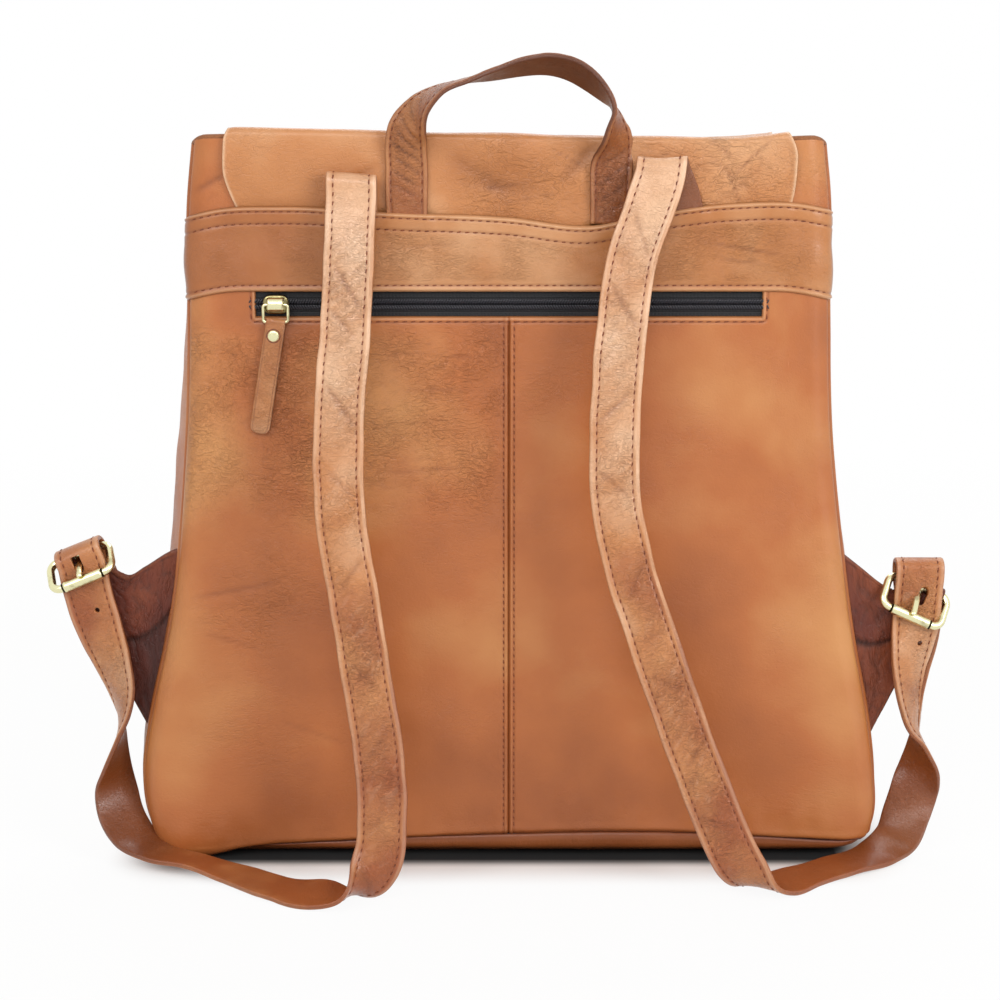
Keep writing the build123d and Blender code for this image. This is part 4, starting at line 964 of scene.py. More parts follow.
def flapSheet(name, start, end, node, seed):
    # columns across, closer at the edges; the half width follows the wandering cut and the round corners
    rise, arc, flat = flapSpine(np.zeros(1))[2:]
    bends = (rise + arc / 2, rise + arc * 1.5 + flat, end)
    runs = clustered(start, end, 1.8, lines=bends, fine=0.7, reach=5)
    columns = clustered(0, 1, 0.0105, lines=(1.0,), fine=0.004, reach=0.02)
    u, run = np.meshgrid(np.concatenate([-columns[::-1], columns[1:]]), runs)
    total = rise + 2 * arc + flat + flap["drop"] - flap["bend"]
    corner = flap["corner"]
    past = np.clip(run - (total - corner), 0, corner * 0.999)
    level = flapSpine(run)[1]
    cut = np.where(u < 0, lineThrough(flap["left"], level), lineThrough(flap["right"], level))
    plain = flap["half"] - 2.5 * (1 - step(run, rise, rise + 40)) + 0.8 * waves(run, 0 * run, 40, 27)
    across = np.where(run < rise + arc, cut, plain)
    x = u * (across - corner + np.sqrt(corner**2 - past**2))
    points = flapShape(x, run)
    normal = normalsOf(points)
    z = points[..., 2]
    rear = 1 - step(run, rise - 4, rise + arc)
    frontNet = creases(x, run, 30, seed, stretch=1.6, sharp=11) * (1 - rear)
    busy = 0.12 + 0.8 * bump(x, 95, 40) + 0.5 * bump(x, 12, 30) + 0.2 * waves(x, run, 60, seed + 2)
    place = np.clip(busy, 0, 1)
    folds = foldLines(x, z, flap["folds"]) * rear * step(z, 336, 344)
    thin = foldLines(x, z, flap["thin"]) * rear * step(z, 334, 340)
    swell = (0.9 * bump(x, 0, 26) * bump(z, 362, 12) + 0.5 * bump(x, 96, 16) * bump(z, 352, 8)
             + 0.5 * bump(x, -110, 22) * bump(z, 356, 12)) * rear * step(z, 340, 348)
    ends = step(1 - np.abs(u), 0, 0.03)
    lifted = 1.1 * (1 - ends) * rear * step(z, 344, 356)
    soft = 0.35 * waves(x, run, 55, seed + 3) * ends * step(z, 341, 350)
    depth = soft + lifted + swell - folds - 0.3 * thin - 0.25 * frontNet * place
    # tone paints light on the right and a highlight along the top fold, and shade in the hollow below the
    # handle; relief paints shade in the folds and creases
    tone = (0.3 * waves(x, run, 100, seed + 5) + 0.5 * bump(x, 110, 45) + 0.5 * bump(z, 377, 5) * rear
            - 0.6 * bump(x, 0, 40) * rear * bump(z, 352, 14) + 0.1 * step(-x, 60, 120))
    cutEdge = 1.6 * bump(1 - np.abs(u), 0, 0.007)
    fields = {"relief": -0.5 * folds - 0.9 * thin - 0.6 * frontNet * place + cutEdge, "tone": tone,
              "edge": 0.0, "crush": 0.25 + 0.6 * place}
    piece = gridObject(name, points + normal * depth[..., None], flapLeather, lining=flesh, rim=rawEdge,
                       thickness=flap["leather"] - 0.1, replaces=node, slot="flap_leather", fields=fields)
    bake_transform(piece)


rise, arc, flat = flapSpine(np.zeros(1))[2:]
half = rise + arc + flat / 2
whole = rise + 2 * arc + flat + flap["drop"] - flap["bend"]
flapSheet("flapRear", 0.0, half, ("flap_back", "flap_top"),
          121)
flapSheet("flapFront", half, whole, ("flap_front",),
          141)
print("flap made")


# folded straps
def alongStations(rows, spacing):
    # the frame's stations joined by a cubic through them, then resampled evenly
    rows = np.array(rows, float)
    knots = runAlong(rows[:, :3])
    return curveThrough(knots, rows, np.linspace(0, knots[-1], int(knots[-1] / spacing)))


def foldStations(x, yStart, yEnd, z, across, up=(0.0, 1.0), squash=1.0, steps=6, lead=2.6):
    # a half turn from a rising strap to a falling one
    middle, radius = (yStart + yEnd) / 2, (yEnd - yStart) / 2
    turn = np.pi * np.arange(steps + 1) / steps
    rise = abs(radius) * squash * np.sin(turn)
    arc = [(x + r * up[0], middle - radius * np.cos(t), z + r * up[1], *across) for r, t in zip(rise, turn)]
    ends = [(x - lead * up[0], y, z - lead * up[1], *across) for y in (yStart, yEnd)]
    return [ends[0]] + arc + [ends[1]]


def foldedProfile(width, thickness, row, sink=0.32):
    # closed outline, counterclockwise from across to out: flat sides with a line between the two plies, and
    # a face with a groove at each stitch row and a slight crown between them
    half, radius = width / 2, thickness / 2
    turn = np.linspace(-np.pi / 2, np.pi / 2, 15)
    side = half - radius + radius * np.cos(turn) ** 0.55 - 0.22 * bump(turn, 0, 0.2)
    face = clustered(radius - half, half - radius, 1.1, lines=[row - half, half - row], fine=0.35, reach=1.1)
    face = face[1:-1]
    crown = 0.35 * np.clip(1 - (face / (half - row - 0.6)) ** 2, 0, 1)
    groove = -sink * (bump(face, row - half, 0.6) + bump(face, half - row, 0.6))
    bead = 0.1 * (bump(face, 1.9 - half, 0.8) + bump(face, half - 1.9, 0.8))
    back = np.linspace(radius - half, half - radius, 12)[1:-1]
    level = radius * np.sin(turn)
    w = np.concatenate([face[::-1], -side[::-1], back, side])
    h = np.concatenate([radius + 0 * face, level[::-1], -radius + 0 * back, level])
    raised = np.concatenate([(crown + groove + bead)[::-1], np.zeros(len(w) - len(face))])
    shown = (np.sin(turn) + 1) / 2
    outer = np.concatenate([np.ones(len(face)), shown[::-1], 0 * back, shown])
    cut = np.concatenate([0 * face, bump(turn, 0, 0.9), 0 * back, bump(turn, 0, 0.9)])
    return w, h, raised, outer, cut, runAlong(np.stack([w, h], -1))


def strap(name, rows, look, body, replaces, seed, spacing=1.3, blendSpan=None, cutters=()):
    # the folded profile carried along the stations, out = ahead x across, creased less where it bends sharply
    stations = alongStations(rows, spacing)
    centre = stations[:, :3]
    ahead = unit(np.gradient(centre, axis=0))
    across = stations[:, 3:6]
    across = unit(across - ahead * (across * ahead).sum(1, keepdims=True))
    out = np.cross(ahead, across)
    half, row = look["width"] / 2, look["row"]
    w, h, raised, outer, cut, run = foldedProfile(look["width"], look["thickness"], row)
    along = runAlong(centre)
    s, ww = np.meshgrid(along, w, indexing="ij")
    bending = np.linalg.norm(np.gradient(ahead, axis=0), axis=1) / spacing
    bending = np.convolve(bending, np.ones(9) / 9, "same")[:, None]
    flat = 1 - np.clip(bending * 12, 0, 0.85)  # a sharp fold pulls the leather smooth
    busy = np.clip(look["busy"] + 0.35 * waves(s, ww, 55, seed), 0.05, 1.1) * flat
    lean = s + look["lean"] * ww
    net = creases(lean, ww, look["size"], seed + 1, stretch=1 / 2.2, sharp=7)
    between = step(half - np.abs(ww), row - 0.4, row + 1.6) * outer
    spared = 0.35 + 0.65 * between
    folds = foldLines(s, ww, look["folds"]) * outer * (0.3 + 0.7 * between)
    soft = waves(lean, ww * 0.8, 11, seed + 3, 0.6)
    depth = (0.25 * soft - 0.28 * net) * busy * spared * (0.3 + 0.7 * outer) - folds
    wander = 0.3 * waves(s, np.sign(ww) * 90, 28, seed + 4) * np.abs(ww) / half * flat
    position = (centre[:, None] + across[:, None] * (ww + wander)[..., None]
                + out[:, None] * (h + (raised + 0.2 * waves(s, ww, 26, seed + 5)) * flat)[..., None])
    normal = normalsOf(position, closed=True)
    points = position + normal * depth[..., None]
    groove = bump(np.abs(ww), half - row, 0.55) * outer
    rim = bump(np.abs(ww), half - 1.2, 0.9) * outer
    # relief paints shade in the creases, folds and stitch grooves, and a highlight on the edge beads and
    # swellings
    relief = (-0.55 * net * busy * between - 1.1 * folds - 0.5 * groove + 0.35 * rim
              + 0.35 * np.clip(soft, 0, 1) * busy * between)
    inner = 1 - outer
    # tone paints light and shade along the strap and darker on the inner face; shadeAndEdge paints shade on the
    # inner face, partly its darker flesh side, and darkens the cut sides
    tone = lineThrough(look["tone"], along)[:, None] + 0.3 * waves(s, ww, 70, seed + 6) - 0.4 * inner
    shadeAndEdge = (lineThrough(look["shadeAndEdge"], along)[:, None] + 0.08) * inner + 0.4 * cut
    rides = None if blendSpan else body
    fields = {"relief": np.clip(relief, -1, 1), "tone": tone, "edge": np.clip(shadeAndEdge, 0, 1),
              "crush": np.clip(0.35 + busy * 0.6, 0, 1.2) * (0.25 + 0.75 * spared)}
    piece = gridObject(name, points, look["material"], closed=True, caps=True, body=rides, fields=fields,
                       uv=np.stack([run + 0 * s, s], -1), slot="strap_leather", replaces=replaces)
    if cutters:
        punched(piece, cutters)
    columns = [np.argmin(np.abs(w - side * (half - row)) + 10 * (outer < 0.99)) for side in (-1, 1)]
    skip = look["skip"]
    rows = [(points[skip:-skip, column], unit(normal[skip:-skip, column])) for column in columns]
    stitches = stitchRows(name + "Stitches", rows, threadBrown, seed=seed + 9, length=2.5,
                          slant=look["slant"], body=rides)
    if blendSpan:
        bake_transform(piece)
        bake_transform(stitches)


def prism(name, outline, low, high, origin, axes, material, **rest):
    # an outline, counterclockwise about the third axis, raised from low to high; columns run round it
    flat = np.concatenate([np.array(outline), np.zeros((len(outline), 1))], 1)
    raised = flat[None] + [[[0, 0, low]], [[0, 0, high]]]
    points = np.array(origin) + raised @ np.array(axes)
    return gridObject(name, points, material, closed=True, caps=True, **rest)


def stadium(width, height, steps=12):
    # a slot standing upright
    radius = width / 2
    turn = np.linspace(0, np.pi, steps)
    top = np.stack([radius * np.cos(turn), height / 2 - radius + radius * np.sin(turn)], -1)
    return np.concatenate([top, -top])


buckle = {"length": 18.0, "half": 16.6, "corner": 5.0, "wire": 2.0, "roller": 2.8, "rollerLong": 21.0,
          "prong": 1.9, "flatness": 0.66, "over": 1.4, "slope": 0.2518, "eye": 3.2, "eyeWide": 5.0,
          "slot": (4.8, 9.0), "hole": 2.6, "shadowRing": (1.9, 2.35), "slide": {"left": 0.0, "right": -2.0}}


def buckleAxes(side):
    # origin on the roller's axis; along the roller, towards the other bar, and out of the frame
    origin = np.array(joints[f"roller_{side}_turn"]["pos_m"]) / mm
    along = unit(np.array(joints[f"roller_{side}_turn"]["axis"]))
    toBar = unit(np.array(joints[f"prong_{side}_lift"]["pos_m"]) / mm - origin)
    return origin, np.array([along, toBar, np.cross(along, toBar)])


def strapCutters(side, slotAt, hole):
    # the slot for the prong and the next punched hole
    origin, axes = buckleAxes(side)
    outline = stadium(*buckle["slot"]) + [0, slotAt]
    slot = prism("slotCutter", outline, -4.5, 7.5, origin, axes, darkEdge)
    across = stadium(buckle["hole"], buckle["hole"] + 0.0001)
    punch = prism("holeCutter", across, -8.0, 8.0, hole, [(1, 0, 0), (0, 0, 1), (0, -1, 0)], darkEdge)
    return [slot, punch]


seatY = -61.6
tilts = {"left": np.radians(22.0), "right": np.radians(-24.0)}
leftAcross = (-np.cos(tilts["left"]), 0, -np.sin(tilts["left"]))
rightAcross = (-np.cos(tilts["right"]), 0, -np.sin(tilts["right"]))
leftTail, rightTail = -33.2, -37.2
leftStations = [
    (-77.5, seatY + 1.1, 331, 1, 0, -0.05), (-77.5, seatY, 339.4, 1, 0, -0.08),
    *foldStations(-77.5, seatY, -69, 350.5, (1, 0, -0.08)),
    (-78.4, -76, 318.6, 1, 0, -0.04), (-80.3, -84, 280, 1, 0, 0), (-83.5, -93, 232, 1, 0, 0),
    (-82.3, -101, 189, 1, 0, 0), (-76, -107, 150, 1, 0, 0), (-69.8, -112, 111, 1, 0, 0),
    (-64, -117, 72, 1, 0, 0), (-62.7, -120.5, 42, 1, 0, 0), (-65, -123, 22, 1, 0.1, 0),
    (-70.5, -125, 11.5, 0.85, 0.5, -0.3), (-79.5, -126, 5.6, 0.45, 0.87, -0.1),
    (-92, -124, 4.4, 0.4, 0.9, 0.2), (-113, -113, 2.9, 0.5, 0.85, 0.06),
    (-139, -91.5, 2.9, 0.6, 0.8, -0.06), (-161.5, -78.5, 5, 0.5, 0.86, -0.14),
    (-182, -71, 7.6, 0.42, 0.9, 0), (-196, -61.5, 13.5, 0.62, 0.75, 0.2),
    (-203.2, -53.5, 22.5, 0.8, 0.58, 0.15), (-206, -49, 33, 0.78, 0.62, 0.05),
    (-206, -47, 43, 0.5, 0.86, 0), (-205, -46, 54, 0.2, 0.98, 0),
    (-203.2, -46, 66, -0.1, 1, 0), (-202.3, -46.5, 77, -0.45, 0.89, 0),
    (-203, -47, 89, -0.7, 0.71, 0), (-207, -47.6, 105, -0.9, 0.42, 0), (-213.2, -48, 124, -1, 0.1, -0.1),
    (-217.6, -48, 141, *leftAcross),
    *foldStations(-221.8, -48, leftTail, 158.4, leftAcross, (leftAcross[2], -leftAcross[0]), 0.66),
    (-216.5, leftTail + 1.5, 143, *leftAcross), (-210.5, leftTail + 5, 126, -1, 0, -0.25),
    (-205.5, leftTail + 7, 108, -1, 0, -0.2)]
rightStations = [
    (84.6, seatY + 1.3, 330, 0.97, 0, 0.24), (82.8, seatY + 0.2, 339.5, 0.97, 0, 0.24),
    (79.4, seatY - 0.2, 350, 0.98, 0, 0.2), (76.8, -62.2, 356.4, 1, 0, 0.1),
    (75.8, -63.4, 360, 1, 0, 0.06), (75.2, -65.3, 361.6, 1, 0, 0), (74.7, -67.2, 360, 1, 0, -0.06),
    (74.2, -68.4, 356.6, 1, 0, -0.1), (72.5, -70.3, 350, 0.97, 0, -0.2),
    (69, -72.5, 340, 0.95, 0, -0.28), (60, -78, 314, 0.97, 0, -0.25), (55.1, -85, 280.3, 1, 0, 0),
    (51.7, -94, 232.3, 1, 0, 0), (52.2, -99, 198.4, 1, 0, 0), (59.2, -104, 164.4, 1, 0, 0),
    (69.1, -108, 134.2, 1, 0, 0), (79.1, -111.5, 105.6, 1, 0, 0), (88.2, -114.5, 80, 1, 0, 0),
    (97.7, -117, 55.9, 1, 0, 0), (106.5, -119, 34, 1, 0, 0), (115, -119.5, 17.5, 1, -0.1, 0),
    (123.5, -116.5, 7.5, 0.9, -0.45, 0), (134, -108.5, 3.6, 0.78, -0.62, -0.12),
    (149, -94, 2.4, 0.77, -0.64, -0.05), (170, -76.5, 1.9, 0.77, -0.64, 0),
    (192.5, -61, 3.2, 0.78, -0.6, -0.05), (205.6, -50, 9.5, 0.72, -0.66, -0.25),
    (210, -45, 19.5, 0.85, -0.45, -0.25), (214, -43, 31, 0.95, -0.25, -0.1),
    (216.5, -43.5, 42, 0.75, -0.66, 0), (216.5, -44.5, 52, 0.4, -0.92, 0),
    (215.2, -46, 61, 0.05, -1, 0), (212, -47, 70, -0.35, -0.94, 0),
    (209.6, -47.5, 82, -0.55, -0.83, 0), (208.6, -48, 97, -0.75, -0.66, 0),
    (209.6, -48, 112, -0.94, -0.32, 0.12),
    (211, -48, 126, *rightAcross), (212, -48, 141, -0.98, 0, 0.2),
    *foldStations(212.5, -48, rightTail, 152.2, (-1, 0, 0), squash=0.7),
    (213.5, rightTail, 141, -1, 0.1, 0), (217, rightTail + 4.5, 120, -0.6, 0.8, 0),
    (219.3, rightTail + 9, 97, 0, 1, 0),
    (218.8, rightTail + 11, 76, 0.2, 0.98, 0), (217.6, rightTail + 11.5, 55, 0.2, 0.98, 0)]
shoulderLook = {"material": strapLeather, "width": 25, "thickness": 2.6, "row": 3.6, "busy": 0.4,
                "lean": 0.8, "size": 8.5, "slant": -0.16, "skip": 3}
# tone along each strap paints light near the top and shade lower down; shadeAndEdge paints shade on the inner
# face, most where it rises from the floor to the buckle and at the top of the right strap
leftLook = dict(
    shoulderLook,
    tone=[(0, 0.9), (60, 1.2), (110, 0.9), (190, 0.3), (270, -0.5), (370, -0.9), (430, -0.6), (620, -0.2),
          (760, -0.6)],
    shadeAndEdge=[(0, 0.3), (330, 0.1), (400, 0), (492, 0.05), (518, 1.2), (600, 1.25), (640, 0.6), (760, 0.5)],
    folds=[(70, -8, 96, 9, 1.3, 0.45), (92, -9, 110, 8, 1.2, 0.4), (128, -9, 152, 9, 1.4, 0.5),
           (170, -8, 186, 9, 1.1, 0.35), (215, 9, 232, -8, 1.3, 0.4), (262, -9, 284, 6, 1.2, 0.35),
           (300, 9, 318, -9, 1.3, 0.4), (372, -10, 384, 10, 1.6, 0.5), (398, -10, 410, 10, 1.6, 0.5)])
rightLook = dict(
    shoulderLook,
    tone=[(0, 0.7), (60, 1), (120, 0.9), (200, 0.6), (260, -0.2), (350, -0.8), (440, -0.8), (600, 0),
          (775, -0.5)],
    shadeAndEdge=[(0, 0.85), (30, 0.7), (60, 0.1), (330, 0), (470, 0.05), (500, 0.6), (575, 0.6), (610, 0.4),
          (775, 0.5)],
    folds=[(62, -8, 84, 9, 1.2, 0.4), (98, -9, 122, 9, 1.4, 0.45), (150, 8, 168, -9, 1.2, 0.4),
           (188, -9, 206, 9, 1.3, 0.4), (236, 9, 258, -8, 1.3, 0.4), (290, -9, 306, 8, 1.2, 0.35),
           (330, 9, 344, -9, 1.3, 0.4), (366, -10, 380, 10, 1.6, 0.5)])
strap("shoulderStrapLeft", leftStations, leftLook, "root", ("shoulder_strap_left",), 201,
      cutters=strapCutters("left", 9.0, (-212.8, -48.0, 131.0)))
strap("shoulderStrapRight", rightStations, rightLook, "root", ("shoulder_strap_right",), 231,
      cutters=strapCutters("right", 11.6, (213.5, -48.0, 113.0)))
handleStations = [
    (-50.5, seatY + 1.1, 330.5, -1, 0, 0), (-50.5, seatY + 0.7, 336.5, -1, 0, 0),
    *[(-50.5, seatY, height, -1, 0, 0) for height in (343, 350, 354, 358)],
    (-50.8, seatY - 1.8, 366, -1, 0.1, 0), (-49, seatY - 7.5, 378, -0.85, 0.5, 0),
    (-43.5, seatY - 9.5, 388, -0.5, 0.85, 0.2), (-34, seatY - 10, 395.5, -0.2, 0.97, 0.1),
    (-20, seatY - 10.2, 400, 0, 1, 0), (-6, seatY - 10.2, 403.5, 0, 0.97, -0.22),
    (8, seatY - 10.2, 407, 0, 0.93, -0.36), (20, seatY - 10.2, 407.8, 0, 0.9, -0.44),
    (32, seatY - 10, 404.6, -0.12, 0.88, -0.46), (42.5, seatY - 10, 397, -0.1, 0.92, -0.38),
    (50.9, seatY - 9.5, 386, 0.12, 0.98, -0.16), (51.9, seatY - 7.5, 376, 0.5, 0.86, 0),
    (51.6, seatY - 1.8, 366, 0.86, 0.5, 0), (50.6, seatY, 358, 1, 0.1, 0),
    *[(50.5, seatY, height, 1, 0, 0) for height in (354, 350, 343)],
    (50.5, seatY + 0.7, 336.5, 1, 0, 0), (50.5, seatY + 1.1, 330.5, 1, 0, 0)]
# the handle's tone and shadeAndEdge tables paint light and shade along it
handleLook = {
    "material": handleLeather, "width": 21, "thickness": 2.6, "row": 2.8, "busy": 0.8, "lean": -0.9,
    "size": 9, "slant": -0.16, "skip": 7,
    "tone": [(0, 0.5), (40, 0.4), (70, 0), (130, -0.2), (190, 0), (260, 0.2)],
    "shadeAndEdge": [(0, 0.3), (60, 0.4), (110, 0.65), (165, 0.6), (200, 0.4), (260, 0.3)],
    "folds": [(20, 8, 12, -8, 0.7, 0.45), (27, 8, 17, -8, 0.8, 0.6), (35, 8, 23, -8, 0.7, 0.6),
              (41, 8, 30, -8, 0.8, 0.7), (48, 8, 36, -8, 0.7, 0.7), (54, 8, 43, -8, 0.8, 0.6),
              (61, 8, 50, -8, 0.7, 0.5), (68, 8, 58, -8, 0.7, 0.4), (198, -8, 188, 8, 0.8, 0.5),
              (208, -8, 196, 8, 0.7, 0.5), (216, -8, 206, 8, 0.8, 0.4), (224, -8, 214, 8, 0.7, 0.4)]}
handleNodes = ("carry_handle", "handle_end_left", "handle_end_right")
strap("carryHandle", handleStations, handleLook, "handle", handleNodes, 261,
      blendSpan=((0, 0, 0.3455), (0, 0, 0.3625)))
print("straps and handle made")


# zip: woven tapes, a coil of small slanting loops, the slider and its pull
tape = {"y": -56.2, "half": 134.5, "tall": 14.0, "thick": 0.7, "rib": 1.1, "coil": -57.5, "reach": 1.45,
        "pitch": 1.35, "loop": 3.1, "slant": 1.5, "wire": 0.5}
for sign, label in ((-1, "Lower"), (1, "Upper")):
    # fine ribs along the tape, thicker where the coil is sewn on
    z = zipLine["middle"] + sign * np.linspace(0.15, tape["tall"], 70)[::sign]
    x, z = np.meshgrid(np.linspace(-tape["half"], tape["half"], 60), z)
    off = np.abs(z - zipLine["middle"])
    rise = 0.1 * np.sin(off * 2 * np.pi / tape["rib"]) + 0.35 * bump(off, 1.4, 1.6)
    gridObject("zipTape" + label, np.stack([x, tape["y"] - rise, z], -1), tapeWeave, thickness=tape["thick"],
               body="root", replaces=("zip_tape_" + label.lower(),), slot="zip_tape")
x = np.linspace(-zipLine["half"] - 4, zipLine["half"] + 4, 500)
up = np.tile([0.0, -1.0, 0.0], (500, 1))
for sign, label in ((-1, "zipCoilLower"), (1, "zipCoilUpper")):
    level = np.full(500, zipLine["middle"] + sign * tape["reach"])
    path = np.stack([x, np.full(500, tape["coil"]), level], -1)
    stitchRows(label, [(path, up)], coilNylon, pitch=tape["pitch"], length=tape["loop"],
               slant=tape["slant"] * sign, jitter=0.0, radius=tape["wire"], body="root",
               replaces=("zip_coil",) if sign < 0 else (), slot="zip_coil")

slider = {"x": -116.5, "z": 290.2, "plate": -58.0, "thick": 1.3, "long": 13.0, "wide": 9.6, "bridge": 9.0,
          "rise": 3.6, "wall": 1.1}
pull = {"y": -60.55, "bottom": 281.6, "wire": 0.8, "half": 6.2, "drop": 8.6, "corner": 1.3, "wide": 10.0,
        "long": 57.0, "thick": 3.0, "lean": 9.5, "rivetDown": 7.0, "rivet": 2.9, "tip": 4.0, "head": 1.8}
brassy = {"slot": "antique_brass"}


def sliderPieces():
    # a domed plate, its flanges, and an arched bridge
    turn = roundTurn(48)
    ring = np.stack([np.cos(turn), np.sin(turn)], -1)
    outline = np.sign(ring) * np.abs(ring) ** 0.62 * [slider["long"] / 2, slider["wide"] / 2]
    shares = [(0.0, 0.0), (0.4, 0.02), (0.75, 0.1), (0.92, 0.3), (1.0, 0.65), (1.0, 0.85), (0.96, 1.0),
              (0.0, 1.0)]
    y = slider["plate"] - slider["thick"]
    rows = [np.stack([slider["x"] + outline[:, 0] * s, np.full(48, y + slider["thick"] * d - 0.35 * (1 - s)),
                      slider["z"] + outline[:, 1] * s], -1) for s, d in shares]
    # the plate and flanges take the darker brass: painted shade
    gridObject("zipSliderPlate", np.array(rows), shadedBrass, closed=True, weld=True, body="slider",
               replaces=("zip_slider",), **brassy)
    for sign in (-1, 1):
        z = slider["z"] + sign * (slider["wide"] / 2 - 0.7)
        path = [(slider["x"] + dx, slider["plate"] + 0.9, z) for dx in np.linspace(-4.6, 4.6, 12)]
        radius = 0.75 * np.sqrt(np.clip(1 - np.linspace(-0.96, 0.96, 12) ** 6, 0.05, 1))
        tube("zipSliderFlange", path, radius, shadedBrass, (0, -1, 0), caps=True, body="slider", **brassy)
    u, angle = np.meshgrid(np.linspace(-1, 1, 28), np.linspace(0, np.pi, 40))
    half = slider["bridge"] / 2 * (1 - 0.12 * np.sin(angle) ** 2)
    away = (1 - np.abs(u)) * half
    shrink = 1 - 0.13 * np.exp(-(away / 0.5) ** 2)
    points = np.stack([slider["x"] + u * half, y - slider["rise"] * np.sin(angle) * shrink + 0.2,
                       slider["z"] - slider["wide"] * 0.38 * np.cos(angle) * shrink], -1)
    gridObject("zipSliderBridge", points, brass, thickness=slider["wall"], body="slider", **brassy)


def pullPieces():
    # wire ring, leather tab folded over it, and a domed rivet
    loop = roundedLoop(pull["half"], pull["drop"], pull["corner"], 6)
    path = np.stack([slider["x"] + loop[:, 0], pull["y"] + 0 * loop[:, 0], pull["bottom"] + loop[:, 1]], -1)
    tube("zipPullRing", path, pull["wire"], brass, (0, -1, 0), sides=12, ring=True, body="pull_ring",
         replaces=("zip_pull_ring",), **brassy)
    lean = np.radians(pull["lean"])
    across, down = np.array([np.cos(lean), 0, -np.sin(lean)]), np.array([-np.sin(lean), 0, -np.cos(lean)])
    inward = np.array([0.0, 1.0, 0.0])
    top = np.array([slider["x"], pull["y"], pull["bottom"]])
    tip, head, halfThick = pull["tip"], pull["head"], pull["thick"] / 2
    turn = np.linspace(0, np.pi / 2, 12)[1:]
    straight = pull["long"] - tip
    v = np.concatenate([[-head, -1.75, -1.5, -1.0, -0.3, 0.5, 1.2, 2.0], np.linspace(3.0, straight, 46),
                        straight + tip * np.sin(turn)])
    past = np.clip((v - straight) / tip, 0, 1)
    wide = pull["wide"] / 2 - 3.6 * (1 - np.sqrt(np.clip(1 - past**2, 0, 1))) - 0.15 * (v < 1)
    roll = np.sqrt(np.clip(head**2 - np.minimum(v, 0) ** 2, 0.01, None))
    thick = np.where(v < 1.2, roll, halfThick)
    thick = thick * np.where(past > 0, np.sqrt(np.clip(1 - past**4, 0.15, 1)), 1)
    turn = (np.arange(40) + 0.5) * 2 * np.pi / 40
    w = np.sign(np.cos(turn)) * np.abs(np.cos(turn)) ** 0.28
    h = np.sign(np.sin(turn)) * np.abs(np.sin(turn)) ** 0.5
    split = 1 - 0.05 * bump(h, 0, 0.18) * (np.abs(w) > 0.9)
    # the section is taken clockwise, so that its faces look outwards
    points = (top + down * v[:, None, None] + across * (wide[:, None] * w * split)[..., None]
              - inward * (thick[:, None] * h)[..., None])
    s = v[:, None] + 0 * w
    points[..., 1] += 0.25 * waves(s, 5 * w + 0 * s, 22, 501) * step(s, 10, 20)
    face = (np.abs(w) < 0.93) & (h > 0)
    groove = bump(np.abs(w * 5), 3.9, 0.3) * face * step(s, 4, 8)
    fields = {"relief": -0.7 * groove + 0.3 * bump(w * 5, 5, 0.8),
              "tone": 0.1 + 0.3 * waves(s, w * 5, 18, 502),
              "edge": 0.75 * bump(h, 0, 0.75) * (w < 0) + 0.1 * (h < 0), "crush": 0.5}
    gridObject("zipPullTab", points, strapLeather, closed=True, caps=True, body="pull_tab",
               replaces=("zip_pull_tab",), slot="strap_leather", fields=fields)
    centre, radius = top + down * pull["rivetDown"] - inward * halfThick, pull["rivet"]
    dome = [(-1.2, 0.0), (-1.2, 0.95), (0.0, 0.95), (0.0, radius), (0.15, radius), (0.4, radius * 0.95),
            (0.62, radius * 0.8), (0.76, radius * 0.5), (0.82, 0.0)]
    lathe("zipPullRivet", centre, -inward, dome, brass, body="pull_tab", replaces=("zip_pull_rivet",),
          **brassy)
    # painted shadow: a dark ring round the rivet's foot
    shadow = [(-0.1, radius + 0.1), (0.08, radius + 0.45), (0.0, radius + 0.7), (-0.1, radius + 0.7)]
    lathe("zipPullRivetPaintedShadow", centre, -inward, shadow, darkEdge, ring=True, body="pull_tab",
          slot="strap_leather")
    back = [(-0.5, 0.0), (-0.5, 1.0), (0.0, 2.3), (0.25, 2.2), (0.4, 1.6), (0.42, 0.0)]
    lathe("zipPullRivetBack", centre + inward * pull["thick"], inward, back, brass, body="pull_tab",
          **brassy)


sliderPieces()
pullPieces()
print("zip made")


def mirrored(end, middle=()):
    # a turned outline whose two ends are alike
    return [(-at, radius) for at, radius in end] + list(middle) + end[::-1]


